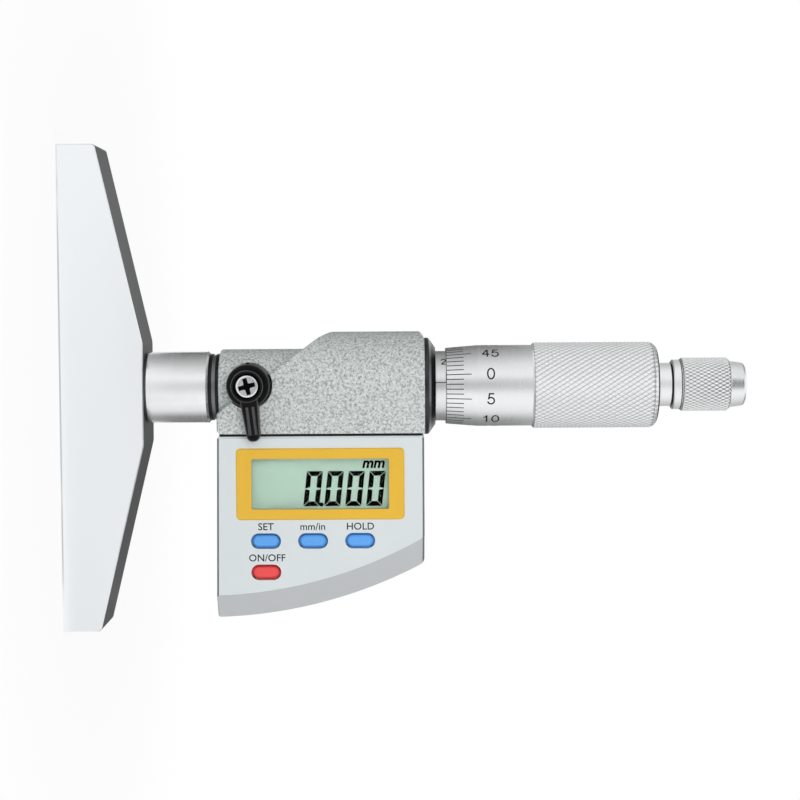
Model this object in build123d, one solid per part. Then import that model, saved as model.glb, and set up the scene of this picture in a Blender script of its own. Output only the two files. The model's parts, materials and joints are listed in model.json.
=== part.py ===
"""Digital depth micrometer: a flat base, a micrometer head standing on it and a display housing beside it.

Frame: the origin is the centre of the base's measuring face. +Z runs up the spindle axis towards the ratchet,
+X runs along the base on the side of the display housing, and -Y is the front, where the display is read.
Millimetres throughout. The thimble stands at the inner end of its travel.
"""

import math
import os

from build123d import *

# Fits and clearances
SEAT = 0.02            # radial gap of a pressed or glued fit
RUN = 0.04             # radial gap of a shaft that turns or slides
GAP = 0.15             # gap between parts that must never touch
EDGE = 0.4             # small broken edge on machined parts

# Base bar
BASE_LENGTH = 100.0
BASE_THICKNESS = 15.6
BASE_HEIGHT = 17.2     # at the crown
BASE_END_HEIGHT = 7.9
BASE_CROWN_WIDTH = 21.0
BASE_CROWN_R = 4.0
BASE_END_R = 0.8
BASE_CROWN_SIDE = 1.05 # how far the crown's middle lies towards the housing
BASE_BREAK = 0.2       # broken edge along the front and back rims
BASE_BORE_DEPTH = 5.0  # spindle bore below the stem's seat

# Stem between base and frame
STEM_R = 7.45
STEM_LENGTH = 13.1
STEM_FOOT = 0.5        # chamfer where the stem meets the base
STEM_SPIGOT_R = 5.5
STEM_NOSE = 3.5        # how far the upper spigot enters the frame
STEM_SEAL_R = 6.95
STEM_SEAL_WIDTH = 2.2

# Frame casting
FRAME_LENGTH = 42.33
NOSE_R = 7.87          # slim front part round the spindle
DRUM_R = 11.4          # thick rear part, also half its width
FRAME_DROP = 9.08      # spindle axis to the face that carries the display housing
SHOULDER_ANGLE = 36.6  # slope between the slim and the thick part
HUMP_R = 10.0
CREST_OVER = 0.3       # side profile's top line above the drum
DRUM_CORNER_R = 2.2
FRAME_EDGE_R = 0.6
CAVITY_R = 7.9
CAVITY_DEPTH = 17.8    # encoder room, measured from the rear face
PASSAGE_R = 4.0        # spindle passage through the nose
WIRE_SLOT_LENGTH = 8.0
WIRE_SLOT_WIDTH = 4.0
WIRE_SLOT_DROP = 12.0  # rear face to the middle of the cable slot

# Spindle, screw and thimble
TRAVEL = 25.0
SPINDLE_R = 3.5
THREAD_R = 4.0
SPINDLE_RECESS = 0.5   # spindle end to the measuring face at the inner stop
ROD_HOLE_R = 1.4
ROD_HOLE_DEPTH = 5.0
KEYWAY_WIDTH = 1.2
KEYWAY_DEPTH = 1.0
TAIL_R = 3.0
COLLAR_R = 10.05
COLLAR_WIDTH = 2.3
COLLAR_BAND = 0.85     # straight part of the collar before its slope
COLLAR_END_R = 8.0
COLLAR_ROUND = 0.5
SLEEVE_R = 7.25
SLEEVE_WALL = 1.03
SLEEVE_SHOWN = 2.15    # sleeve left bare between collar and thimble at the inner stop
FLANGE_DEPTH = 4.0
NUT_LENGTH = 10.0
NUT_WALL = 1.2
THIMBLE_LENGTH = 43.85
THIMBLE_R = 8.42
THIMBLE_LIP = 0.43     # wall at the bevelled front edge
BEVEL_LENGTH = 6.45
GRIP_START = 17.85     # thimble front edge to the knurled grip
GRIP_R = 8.94
GRIP_ROUND = 1.7
THIMBLE_END_WALL = 8.0

# Ratchet stop
RATCHET_NECK_R = 4.55
RATCHET_NECK = 3.25    # bare neck between thimble and ratchet knob
NECK_GROOVE = 0.4      # width and depth of the groove in front of the knob
KNOB_MOUTH = 2.4       # how far the neck reaches into the knob
KNOB_RING_R = 5.2
KNOB_RING = 1.75
KNOB_R = 5.56
KNOB_GRIP = 10.1
KNOB_CHAMFER = 0.4
KNOB_CONE = 3.35
KNOB_CONE_R = 4.9
KNOB_END_R = 4.45
KNOB_END_ROUND = 0.8
KNOB_WEB = 3.0
STUD_R = 1.5
POST_R = 1.6
WHEEL_TEETH = 12
WHEEL_CREST_R = 3.5
WHEEL_ROOT_R = 3.0
WHEEL_HEIGHT = 3.0
PAWL_STRIP = 0.35
PAWL_OPENING = 40.0    # degrees left open in the pawl spring
PAWL_TIP = 0.8
RATCHET_SCREW_HEAD_R = 2.6
RATCHET_SCREW_HEAD = 1.6
RATCHET_SCREW_R = 0.8
SCREW_SLOT_WIDTH = 0.7
SCREW_SLOT_DEPTH = 0.6

# Encoder
ROTOR_HUB_R = 5.0
ROTOR_R = 7.3
ROTOR_THICKNESS = 1.4
STATOR_THICKNESS = 1.6
ENCODER_GAP = 0.4
ROTOR_HUB_LENGTH = 11.5
KEY_R = 0.5
CABLE_WIDTH = 3.0
CABLE_THICKNESS = 0.2

# Spindle lock
LOCK_HEIGHT = 6.6      # front end of the frame to the lever's axis
LOCK_SIDE = -0.8       # lever's axis beside the spindle axis
LOCK_SEAT = 8.6        # spindle axis to the lever's seat
LOCK_PIN_R = 2.0
LEVER_FLANGE_R = 4.6   # at the frame
LEVER_FLANGE_TOP_R = 4.4
LEVER_NUB_R = 0.35
LEVER_HUB_R = 3.3
LEVER_HUB_TOP = 16.2   # spindle axis to the top of the hub
LEVER_FLANGE_TOP = 13.4
LEVER_LENGTH = 11.2
LEVER_ROOT_WIDTH = 3.95
LEVER_TIP_WIDTH = 2.55
LEVER_UNDER = 12.6     # spindle axis to the underside of the handle and the top of the lock pin
LEVER_TOP = 15.6
LEVER_ANGLE = 6.8      # handle's lean towards the thimble
LEVER_RIM = 0.6        # rim left round the hollow in the handle
LEVER_HOLLOW = 0.5
LEVER_EDGE_R = 0.35
POCKET_R = 4.85
LOCK_SCREW_HEAD_R = 2.45
LOCK_SCREW_HEAD = 1.6
LOCK_SCREW_R = 1.0
LOCK_SCREW_LENGTH = 5.0
LOCK_SCREW_ROUND = 0.6
LOCK_SCREW_SUNK = 0.1  # hub's rim above the screw head
CROSS_LENGTH = 3.4
CROSS_WIDTH = 0.9
CROSS_DEPTH = 0.9
CROSS_ANGLE = -16.0
CROSS_CORNER_R = 0.35
SHOE_LENGTH = 1.0

# Display housing
HOUSING_TALL = 37.32   # at the base's end
CHIN_RISE = 11.05      # how much less tall it is at the thimble's end
HOUSING_SET = 0.12     # frame's lower end to the housing's
HOUSING_SHORT = 0.32   # how much shorter it is than the frame
HOUSING_FLARE = 0.38   # how far the end near the base leans out at its foot
GASKET = 0.5
HOUSING_FRONT = 12.0   # spindle axis to the front face
HOUSING_BACK = 10.0
HOUSING_WALL = 1.6
CHIN_R = 95.0          # curved lower edge
CHIN_BEVEL = 5.0
CHIN_BEVEL_DEPTH = 3.4
HOUSING_CORNER_R = 0.5
CHIN_CORNER_R = 1.8
HOUSING_EDGE = 0.4
BACK_EDGE_R = 1.5

# Display
BEZEL_START = 3.83     # housing's lower end to bezel
BEZEL_END = 4.08       # bezel to the housing's upper end
BEZEL_DROP = 2.4       # housing top to bezel
BEZEL_CLEAR = 4.35     # bezel to the middle of the upper buttons
BEZEL_PROUD = 0.4
BEZEL_POCKET = 0.8
BEZEL_CORNER_R = 0.9
SCREEN_CORNER_R = 0.4
SCREEN_START = 3.1     # bezel's lower end to screen
SCREEN_END = 3.1       # screen to the bezel's upper end
SCREEN_BORDER = 2.12   # bezel's long sides to screen
WINDOW_OVERLAP = 0.2
WINDOW_THICKNESS = 1.0
LCD_THICKNESS = 1.6
LCD_OVERHANG = 1.4
ZEBRA_WIDTH = 1.6
ZEBRA_HEIGHT = 1.0
BOARD_THICKNESS = 1.0
BOARD_CLEARANCE = 0.6
CHIP = 6.0
CHIP_HEIGHT = 1.2

# Buttons
BUTTON_LENGTH = 6.1    # hole in the front cover
BUTTON_WIDTH = 3.2
BUTTON_GAP = 0.45
BUTTON_PROUD = 0.15
BUTTON_LIP = 0.7
BUTTON_LIP_THICKNESS = 0.8
BUTTON_ROUND = 0.3
BUTTON_TRAVEL = 0.4
BUTTON_START = 0.2323  # housing end to the first button, as a share of the housing's length
BUTTON_STEP = 0.2278   # from button to button, as a share of the housing's length
BUTTON_CLEAR = 5.0     # upper buttons to the lower edge at the thimble's end
POWER_CLEAR = 9.67     # power button to the lower edge at the base's end
PAD_THICKNESS = 0.8
PAD_MARGIN = 2.2       # pad beyond the button holes
DOME_R = 1.2

# Battery and cover screws
CELL_R = 10.0
CELL_THICKNESS = 3.2
CELL_STEP = 0.7
CELL_DROP = 14.9       # housing top to the cell's centre
WELL_WALL = 1.5
WELL_FLOOR = 1.0
CAP_R = 10.7
CAP_PROUD = 0.3
CAP_THICKNESS = 2.6
COIN_SLOT_LENGTH = 15.0
COIN_SLOT_WIDTH = 1.8
COIN_SLOT_DEPTH = 1.2
CAP_SEAL = 0.8
CONTACT_THICKNESS = 0.3
CONTACT_LENGTH = 12.0
CONTACT_WIDTH = 3.0
CONTACT_LEG_R = 0.4
CONTACT_LEG_PITCH = 8.0
COVER_SCREW_R = 0.8
COVER_SCREW_HEAD_R = 1.4
COVER_SCREW_HEAD = 0.9
COVER_SCREW_BITE = 4.0 # thread in the front cover
COVER_SCREW_SUNK = 0.3
COVER_CROSS = 1.6
BOSS_R = 1.7
BOSS_INSET = 2.8       # outside of the housing to the screw's axis
BOSS_CHIN_INSET = 3.0  # the same, from the curved lower edge
FRAME_SCREW_R = 1.0
FRAME_SCREW_HEAD_R = 1.9
FRAME_SCREW_HEAD = 1.2
FRAME_SCREW_GRIP = 3.2
FRAME_SCREW_OFFSET = 6.0   # behind the spindle axis
FRAME_SCREW_INSET = 9.0    # housing ends to the screws

# Heights along the spindle that follow from the sizes above
STEM_TOP = BASE_HEIGHT + STEM_LENGTH
FRAME_Z = STEM_TOP + STEM_SEAL_WIDTH
REAR_Z = FRAME_Z + FRAME_LENGTH
COLLAR_TOP = REAR_Z + COLLAR_WIDTH
THIMBLE_Z = COLLAR_TOP + SLEEVE_SHOWN
THIMBLE_TOP = THIMBLE_Z + THIMBLE_LENGTH
THIMBLE_FLOOR = THIMBLE_TOP - THIMBLE_END_WALL
SLEEVE_TOP = THIMBLE_Z + TRAVEL + 4.0
NUT_TOP = SLEEVE_TOP + 2.0
NUT_Z = NUT_TOP - NUT_LENGTH
THREAD_Z = NUT_Z - TRAVEL
CAVITY_Z = REAR_Z - CAVITY_DEPTH
STATOR_Z = REAR_Z - FLANGE_DEPTH - STATOR_THICKNESS
ROTOR_TOP = STATOR_Z - ENCODER_GAP
ROTOR_Z = ROTOR_TOP - ROTOR_HUB_LENGTH
KEY_Z = ROTOR_Z + 2.5
LOCK_Z = FRAME_Z + LOCK_HEIGHT
LOCK_AXIS = (LOCK_Z, LOCK_SIDE)
TAIL_TOP = THIMBLE_TOP - 2.0
WIRE_SLOT_Z = REAR_Z - WIRE_SLOT_DROP
KNOB_Z = THIMBLE_TOP + RATCHET_NECK
NECK_TOP = KNOB_Z + KNOB_MOUTH
WEB_Z = NECK_TOP + WHEEL_HEIGHT + GAP
POST_TOP = WEB_Z + KNOB_WEB + GAP
KNOB_TOP = KNOB_Z + KNOB_RING + KNOB_GRIP + KNOB_CONE
HOUSING_Z = FRAME_Z + HOUSING_SET
HOUSING_LENGTH = FRAME_LENGTH - HOUSING_SHORT
HOUSING_TOP = FRAME_DROP + GASKET
HOUSING_LOW = HOUSING_TALL - CHIN_RISE
BUTTON_ROW = HOUSING_LOW - BUTTON_CLEAR
POWER_ROW = HOUSING_TALL - POWER_CLEAR
BEZEL_WIDTH = BUTTON_ROW - BEZEL_CLEAR - BEZEL_DROP
BEZEL_LENGTH = HOUSING_LENGTH - BEZEL_START - BEZEL_END
SCREEN_LENGTH = BEZEL_LENGTH - SCREEN_START - SCREEN_END
SCREEN_WIDTH = BEZEL_WIDTH - 2 * SCREEN_BORDER

# Depths from the spindle axis towards the back (+Y)
FACE_Y = -HOUSING_FRONT
INNER_Y = FACE_Y + HOUSING_WALL
WINDOW_Y = FACE_Y + BEZEL_POCKET
LCD_Y = WINDOW_Y + WINDOW_THICKNESS + GAP
ZEBRA_Y = LCD_Y + LCD_THICKNESS
BOARD_Y = ZEBRA_Y + ZEBRA_HEIGHT
BOARD_BACK = BOARD_Y + BOARD_THICKNESS
PARTING_Y = 0.0
CAP_Y = HOUSING_BACK + CAP_PROUD - CAP_THICKNESS
CELL_Y = CAP_Y - GAP - CELL_THICKNESS
CONTACT_Y = CELL_Y - CONTACT_THICKNESS
WELL_Y = CONTACT_Y - WELL_FLOOR

BUTTON_LIP_Y = INNER_Y + SEAT + BUTTON_LIP_THICKNESS
SCREW_HEAD_Y = HOUSING_BACK - COVER_SCREW_SUNK - COVER_SCREW_HEAD
LOCK_WEB_TOP = LEVER_HUB_TOP - LOCK_SCREW_HEAD - LOCK_SCREW_SUNK
SHOE_BACK = SPINDLE_R + RUN + SHOE_LENGTH

# Places on the housing's front, as (height along the spindle, distance from the spindle axis)
BEZEL_CENTRE = (HOUSING_Z + BEZEL_START + BEZEL_LENGTH / 2, HOUSING_TOP + BEZEL_DROP + BEZEL_WIDTH / 2)
SCREEN_CENTRE = (HOUSING_Z + BEZEL_START + SCREEN_START + SCREEN_LENGTH / 2, BEZEL_CENTRE[1])
FRAME_SCREWS = [
    (HOUSING_Z + FRAME_SCREW_INSET, FRAME_SCREW_OFFSET),
    (HOUSING_Z + HOUSING_LENGTH - FRAME_SCREW_INSET, FRAME_SCREW_OFFSET),
]
CELL_CENTRE = (HOUSING_Z + HOUSING_LENGTH / 2, HOUSING_TOP + CELL_DROP)
FIRST_BUTTON = HOUSING_Z + BUTTON_START * HOUSING_LENGTH
BUTTON_PITCH = BUTTON_STEP * HOUSING_LENGTH
BUTTONS = {
    "origin_button": (FIRST_BUTTON, HOUSING_TOP + BUTTON_ROW),
    "unit_button": (FIRST_BUTTON + BUTTON_PITCH, HOUSING_TOP + BUTTON_ROW),
    "hold_button": (FIRST_BUTTON + 2 * BUTTON_PITCH, HOUSING_TOP + BUTTON_ROW),
    "power_button": (FIRST_BUTTON, HOUSING_TOP + POWER_ROW),
}


def disc(radius, low, high):
    """A cylinder on the spindle axis between two heights."""
    return Pos(0, 0, low) * Cylinder(radius, high - low, align=(Align.CENTER, Align.CENTER, Align.MIN))


def turned(points):
    """A turned piece: a closed profile of (radius, height) points revolved about the spindle axis."""
    profile = make_face(Polyline(*[(radius, 0, height) for radius, height in points], close=True))
    return revolve(profile, Axis.Z, 360)


def front_plane(depth):
    """Sketch plane parallel to the front: its x is the height, its y the distance from the spindle axis."""
    return Plane(origin=(0, depth, 0), x_dir=(0, 0, 1), z_dir=(0, 1, 0))


def prism(sketch, front, back):
    """A front-view sketch extruded between two depths."""
    return extrude(front_plane(front) * sketch, back - front)


def front_rod(centre, radius, front, back):
    """A cylinder that runs from front to back at a place on the front view."""
    return prism(Pos(*centre) * Circle(radius), front, back)


def circular_edges(solid, radius, height):
    """The edges of a turned piece with this radius at this height."""
    return [
        edge for edge in solid.edges().filter_by(GeomType.CIRCLE)
        if abs(edge.radius - radius) < 1e-3 and abs(edge.center().Z - height) < 1e-3
    ]


def base():
    """Hardened base bar: low at both ends, rising to a flat crown that carries the stem."""
    half, crown = BASE_LENGTH / 2, BASE_CROWN_WIDTH / 2
    outline = Polyline(
        (0, -half), (BASE_END_HEIGHT, -half), (BASE_HEIGHT, BASE_CROWN_SIDE - crown),
        (BASE_HEIGHT, BASE_CROWN_SIDE + crown), (BASE_END_HEIGHT, half), (0, half), close=True,
    )
    side = make_face(outline)
    side = fillet([corner for corner in side.vertices() if corner.X > BASE_END_HEIGHT + EDGE], BASE_CROWN_R)
    ends = [corner for corner in side.vertices() if abs(corner.Y) > half - EDGE and corner.X > EDGE]
    side = fillet(ends, BASE_END_R)
    bar = prism(side, -BASE_THICKNESS / 2, BASE_THICKNESS / 2)
    rims = [edge for edge in bar.edges() if abs(edge.center().Y) > BASE_THICKNESS / 2 - 1e-6]
    bar = chamfer([edge for edge in rims if edge.center().Z < 1e-6], EDGE)
    rims = [edge for edge in bar.edges() if abs(edge.center().Y) > BASE_THICKNESS / 2 - 1e-6]
    bar = chamfer([edge for edge in rims if edge.center().Z > EDGE + 1e-6], BASE_BREAK)
    bar -= disc(SPINDLE_R + 2 * RUN, 0, BASE_HEIGHT)
    return bar - disc(STEM_SPIGOT_R + SEAT, BASE_BORE_DEPTH, BASE_HEIGHT)


def stem():
    """Bright turned stem, spigotted into the base and into the frame's nose."""
    body = turned([
        (SPINDLE_R + RUN, BASE_BORE_DEPTH), (STEM_SPIGOT_R, BASE_BORE_DEPTH),
        (STEM_SPIGOT_R, BASE_HEIGHT), (STEM_R - STEM_FOOT, BASE_HEIGHT), (STEM_R, BASE_HEIGHT + STEM_FOOT),
        (STEM_R, STEM_TOP - EDGE), (STEM_R - EDGE, STEM_TOP), (STEM_SPIGOT_R, STEM_TOP),
        (STEM_SPIGOT_R, FRAME_Z + STEM_NOSE), (SPINDLE_R + RUN, FRAME_Z + STEM_NOSE),
    ])
    return body


def stem_seal():
    """Black ring between stem and frame, with a shallow groove round its middle."""
    third = STEM_SEAL_WIDTH / 3
    groove = STEM_SEAL_R - EDGE / 2
    return turned([
        (STEM_SPIGOT_R + SEAT, STEM_TOP), (STEM_SEAL_R, STEM_TOP), (STEM_SEAL_R, STEM_TOP + third),
        (groove, STEM_TOP + third), (groove, FRAME_Z - third), (STEM_SEAL_R, FRAME_Z - third),
        (STEM_SEAL_R, FRAME_Z), (STEM_SPIGOT_R + SEAT, FRAME_Z),
    ])


def frame_block():
    """Outer form of the frame's thick part: a rounded drum, sloping away past the lock lever."""
    section = make_face([
        ThreePointArc((0, -DRUM_R), (-DRUM_R, 0), (0, DRUM_R)),
        Polyline((0, DRUM_R), (FRAME_DROP, DRUM_R), (FRAME_DROP, -DRUM_R), (0, -DRUM_R)),
    ])
    drum = extrude(Pos(0, 0, FRAME_Z) * section, FRAME_LENGTH)
    rise = math.tan(math.radians(SHOULDER_ANGLE))
    crest = DRUM_R + CREST_OVER
    hump = (LOCK_Z + crest / rise, -crest)
    corner = (REAR_Z, -crest)
    side = make_face(Polyline(
        (FRAME_Z + FRAME_EDGE_R, FRAME_DROP), (FRAME_Z, FRAME_DROP - FRAME_EDGE_R),
        (FRAME_Z, (LOCK_Z - FRAME_Z) * rise), hump, corner, (REAR_Z, FRAME_DROP), close=True,
    ))
    side = fillet(side.vertices().sort_by_distance((*hump, 0))[0], HUMP_R)
    side = fillet(side.vertices().sort_by_distance((*corner, 0))[0], DRUM_CORNER_R)
    block = drum & prism(side, -DRUM_R, DRUM_R)
    slope = [
        edge for edge in block.edges()
        if edge.geom_type in (GeomType.LINE, GeomType.ELLIPSE) and edge.bounding_box().max.Z < hump[0]
        and edge.bounding_box().size.Z > EDGE and edge.center().X < FRAME_DROP / 2
    ]
    block = fillet(slope, FRAME_EDGE_R)
    front_end = [
        edge for edge in block.edges().filter_by_position(Axis.Z, FRAME_Z - EDGE, FRAME_Z + EDGE / 2)
        if edge.center().X < FRAME_DROP - 2 * FRAME_EDGE_R
    ]
    return fillet(front_end, FRAME_EDGE_R)


def frame():
    """Cast frame: spindle passage, encoder room, lever seat and the face for the display housing."""
    nose = disc(NOSE_R, FRAME_Z, REAR_Z - DRUM_CORNER_R)
    nose = fillet(circular_edges(nose, NOSE_R, FRAME_Z), FRAME_EDGE_R)
    seat = front_rod(LOCK_AXIS, POCKET_R - EDGE, -LOCK_SEAT, 0)
    body = frame_block() + nose + seat
    body -= front_rod(LOCK_AXIS, POCKET_R, -2 * DRUM_R, -LOCK_SEAT)
    body -= disc(STEM_SPIGOT_R + SEAT, FRAME_Z, FRAME_Z + STEM_NOSE)
    body -= disc(PASSAGE_R, FRAME_Z, CAVITY_Z)
    body -= disc(CAVITY_R, CAVITY_Z, REAR_Z)
    body -= front_rod(LOCK_AXIS, LOCK_PIN_R + RUN, -LOCK_SEAT, 0)
    body -= Pos(FRAME_DROP / 2, 0, WIRE_SLOT_Z) * Box(FRAME_DROP, WIRE_SLOT_WIDTH, WIRE_SLOT_LENGTH)
    for place in FRAME_SCREWS:
        body -= side_rod(place, FRAME_SCREW_R + SEAT, FRAME_DROP - FRAME_SCREW_GRIP - GAP, FRAME_DROP)
    return body


def rear_collar():
    """Black ring that closes the frame's rear face round the sleeve."""
    bore = SLEEVE_R + SEAT
    ring = turned([
        (bore, REAR_Z), (COLLAR_R, REAR_Z), (COLLAR_R, REAR_Z + COLLAR_BAND),
        (COLLAR_END_R, COLLAR_TOP), (bore, COLLAR_TOP),
    ])
    return fillet(circular_edges(ring, COLLAR_R, REAR_Z + COLLAR_BAND), COLLAR_ROUND)


def inner_sleeve():
    """Flanged inner sleeve: guides the spindle and carries the nut for the measuring screw."""
    tube_r = SLEEVE_R - SLEEVE_WALL - SEAT
    nut_r = THREAD_R + RUN + NUT_WALL
    return turned([
        (SPINDLE_R + RUN, REAR_Z - FLANGE_DEPTH), (CAVITY_R - SEAT, REAR_Z - FLANGE_DEPTH),
        (CAVITY_R - SEAT, REAR_Z), (tube_r, REAR_Z), (tube_r, NUT_Z), (nut_r, NUT_Z), (nut_r, NUT_TOP),
        (THREAD_R + RUN, NUT_TOP), (THREAD_R + RUN, NUT_Z), (THREAD_R + 2 * GAP, NUT_Z),
        (THREAD_R + 2 * GAP, REAR_Z - GAP), (SPINDLE_R + RUN, REAR_Z - GAP),
    ])


def sleeve():
    """Outer sleeve that carries the main scale."""
    body = disc(SLEEVE_R, REAR_Z, SLEEVE_TOP)
    body = chamfer(circular_edges(body, SLEEVE_R, SLEEVE_TOP), EDGE / 2)
    return body - disc(SLEEVE_R - SLEEVE_WALL, REAR_Z, SLEEVE_TOP)


def adjusting_nut():
    """Tapered nut that takes up play in the measuring screw, with two spanner notches."""
    nut_r = THREAD_R + RUN + NUT_WALL
    low, high = NUT_Z + 2 * EDGE, SLEEVE_TOP - 2 * EDGE
    ring = disc(SLEEVE_R - SLEEVE_WALL - GAP, low, high) - disc(nut_r + SEAT, low, high)
    return ring - Pos(0, 0, high) * Box(4 * nut_r, 2 * EDGE, 4 * EDGE)


def spindle():
    """Spindle with its measuring screw, a keyway for the encoder and a socket for a measuring rod."""
    body = turned([
        (0, SPINDLE_RECESS), (SPINDLE_R - EDGE, SPINDLE_RECESS), (SPINDLE_R, SPINDLE_RECESS + EDGE),
        (SPINDLE_R, THREAD_Z), (THREAD_R, THREAD_Z), (THREAD_R, THIMBLE_FLOOR),
        (TAIL_R, THIMBLE_FLOOR), (TAIL_R, TAIL_TOP), (0, TAIL_TOP),
    ])
    body -= disc(ROD_HOLE_R, SPINDLE_RECESS, SPINDLE_RECESS + ROD_HOLE_DEPTH)
    body -= disc(STUD_R + SEAT, THIMBLE_FLOOR, TAIL_TOP)
    keyway = Box(2 * KEYWAY_DEPTH, KEYWAY_WIDTH, TRAVEL + 4, align=(Align.CENTER, Align.CENTER, Align.MAX))
    return body - Pos(SPINDLE_R, 0, KEY_Z + 2) * keyway


def thimble():
    """Thimble: bevelled front edge, scale and grip, closed by a thick end wall."""
    inner = SLEEVE_R + 0.2
    body = turned([
        (inner, THIMBLE_Z), (inner + THIMBLE_LIP, THIMBLE_Z), (THIMBLE_R, THIMBLE_Z + BEVEL_LENGTH),
        (THIMBLE_R, THIMBLE_Z + GRIP_START), (GRIP_R, THIMBLE_Z + GRIP_START + GRIP_R - THIMBLE_R),
        (GRIP_R, THIMBLE_TOP), (TAIL_R + SEAT, THIMBLE_TOP),
        (TAIL_R + SEAT, THIMBLE_FLOOR), (inner, THIMBLE_FLOOR),
    ])
    return fillet(circular_edges(body, GRIP_R, THIMBLE_TOP), GRIP_ROUND)


def ratchet_shaft():
    """Ratchet shaft: a stud in the spindle's tail, the bare neck and the post on which the knob turns."""
    return turned([
        (0, THIMBLE_FLOOR + EDGE), (STUD_R, THIMBLE_FLOOR + EDGE), (STUD_R, TAIL_TOP), (TAIL_R, TAIL_TOP),
        (TAIL_R, THIMBLE_TOP), (RATCHET_NECK_R, THIMBLE_TOP), (RATCHET_NECK_R, KNOB_Z - NECK_GROOVE),
        (RATCHET_NECK_R - NECK_GROOVE, KNOB_Z - NECK_GROOVE), (RATCHET_NECK_R - NECK_GROOVE, KNOB_Z),
        (RATCHET_NECK_R, KNOB_Z), (RATCHET_NECK_R, NECK_TOP),
        (POST_R, NECK_TOP), (POST_R, POST_TOP), (RATCHET_SCREW_R + SEAT, POST_TOP),
        (RATCHET_SCREW_R + SEAT, POST_TOP - KNOB_WEB - EDGE), (0, POST_TOP - KNOB_WEB - EDGE),
    ])


def ratchet_wheel():
    """Saw-toothed wheel fixed to the ratchet shaft."""
    step = 2 * math.pi / WHEEL_TEETH
    points = []
    for tooth in range(WHEEL_TEETH):
        angle = tooth * step
        points.append((WHEEL_ROOT_R * math.cos(angle), WHEEL_ROOT_R * math.sin(angle)))
        points.append((WHEEL_CREST_R * math.cos(angle + step), WHEEL_CREST_R * math.sin(angle + step)))
    wheel = extrude(Pos(0, 0, NECK_TOP) * make_face(Polyline(*points, close=True)), WHEEL_HEIGHT)
    return wheel - disc(POST_R + SEAT, NECK_TOP, NECK_TOP + WHEEL_HEIGHT)


def pawl_spring():
    """Open spring ring in the knob whose bent tip clicks over the wheel's teeth."""
    outer = RATCHET_NECK_R + GAP - SEAT
    low, high = NECK_TOP + EDGE, NECK_TOP + WHEEL_HEIGHT - EDGE
    ring = disc(outer, low, high) - disc(outer - PAWL_STRIP, low, high)
    half = math.radians(PAWL_OPENING / 2)
    reach = 2 * outer
    opening = make_face(Polyline(
        (0, 0), (reach * math.cos(half), -reach * math.sin(half)),
        (reach * math.cos(half), reach * math.sin(half)), close=True,
    ))
    ring -= extrude(Pos(0, 0, low) * opening, high - low)
    tip_length = outer - PAWL_STRIP / 2 - WHEEL_CREST_R - GAP
    tip = Box(tip_length, PAWL_TIP, high - low, align=(Align.MIN, Align.CENTER, Align.MIN))
    return ring + Rot(0, 0, PAWL_OPENING / 2 + 8) * Pos(WHEEL_CREST_R + GAP, 0, low) * tip


def ratchet_knob():
    """Ratchet knob: mouth ring, grip and tapered end, hollowed for the click wheel and its screw."""
    mouth = RATCHET_NECK_R + GAP
    grip_z = KNOB_Z + KNOB_RING
    cone_z = grip_z + KNOB_GRIP
    body = turned([
        (0, KNOB_Z), (KNOB_RING_R, KNOB_Z), (KNOB_RING_R, grip_z), (KNOB_R - KNOB_CHAMFER, grip_z),
        (KNOB_R, grip_z + KNOB_CHAMFER), (KNOB_R, cone_z - KNOB_CHAMFER), (KNOB_R - KNOB_CHAMFER, cone_z),
        (KNOB_CONE_R, cone_z), (KNOB_END_R, KNOB_TOP), (0, KNOB_TOP),
    ])
    body = fillet(circular_edges(body, KNOB_END_R, KNOB_TOP), KNOB_END_ROUND)
    body -= disc(mouth, KNOB_Z, WEB_Z)
    body -= disc(POST_R + RUN, WEB_Z, KNOB_TOP)
    return body - disc(RATCHET_SCREW_HEAD_R + GAP, WEB_Z + KNOB_WEB, KNOB_TOP)


def ratchet_screw():
    """Slotted screw in the post that keeps the knob on its shaft."""
    body = disc(RATCHET_SCREW_HEAD_R, POST_TOP, POST_TOP + RATCHET_SCREW_HEAD)
    body = chamfer(circular_edges(body, RATCHET_SCREW_HEAD_R, POST_TOP + RATCHET_SCREW_HEAD), EDGE)
    body += disc(RATCHET_SCREW_R, POST_TOP - KNOB_WEB, POST_TOP)
    slot = Box(3 * RATCHET_SCREW_HEAD_R, SCREW_SLOT_WIDTH, 2 * SCREW_SLOT_DEPTH)
    return body - Pos(0, 0, POST_TOP + RATCHET_SCREW_HEAD) * slot


def encoder_rotor():
    """Patterned encoder disc on its hub, driven by the spindle through a key."""
    hub = disc(ROTOR_HUB_R, ROTOR_Z, ROTOR_TOP) + disc(ROTOR_R, ROTOR_TOP - ROTOR_THICKNESS, ROTOR_TOP)
    hub -= disc(SPINDLE_R + RUN, ROTOR_Z, ROTOR_TOP)
    return hub - radial_rod(KEY_R + SEAT, SPINDLE_R, ROTOR_HUB_R)


def rotor_key():
    """Pin through the encoder hub that runs in the spindle's keyway."""
    return radial_rod(KEY_R, SPINDLE_R - KEYWAY_DEPTH + GAP, ROTOR_HUB_R - GAP)


def radial_rod(radius, near, far):
    """A round pin pointing away from the spindle axis at the height of the encoder key."""
    return Pos(near, 0, KEY_Z) * Rot(0, 90, 0) * Cylinder(
        radius, far - near, align=(Align.CENTER, Align.CENTER, Align.MIN))


def encoder_stator():
    """Fixed encoder plate on the inner sleeve's flange."""
    top = STATOR_Z + STATOR_THICKNESS
    return disc(CAVITY_R - GAP, STATOR_Z, top) - disc(ROTOR_HUB_R, STATOR_Z, top)


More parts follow.
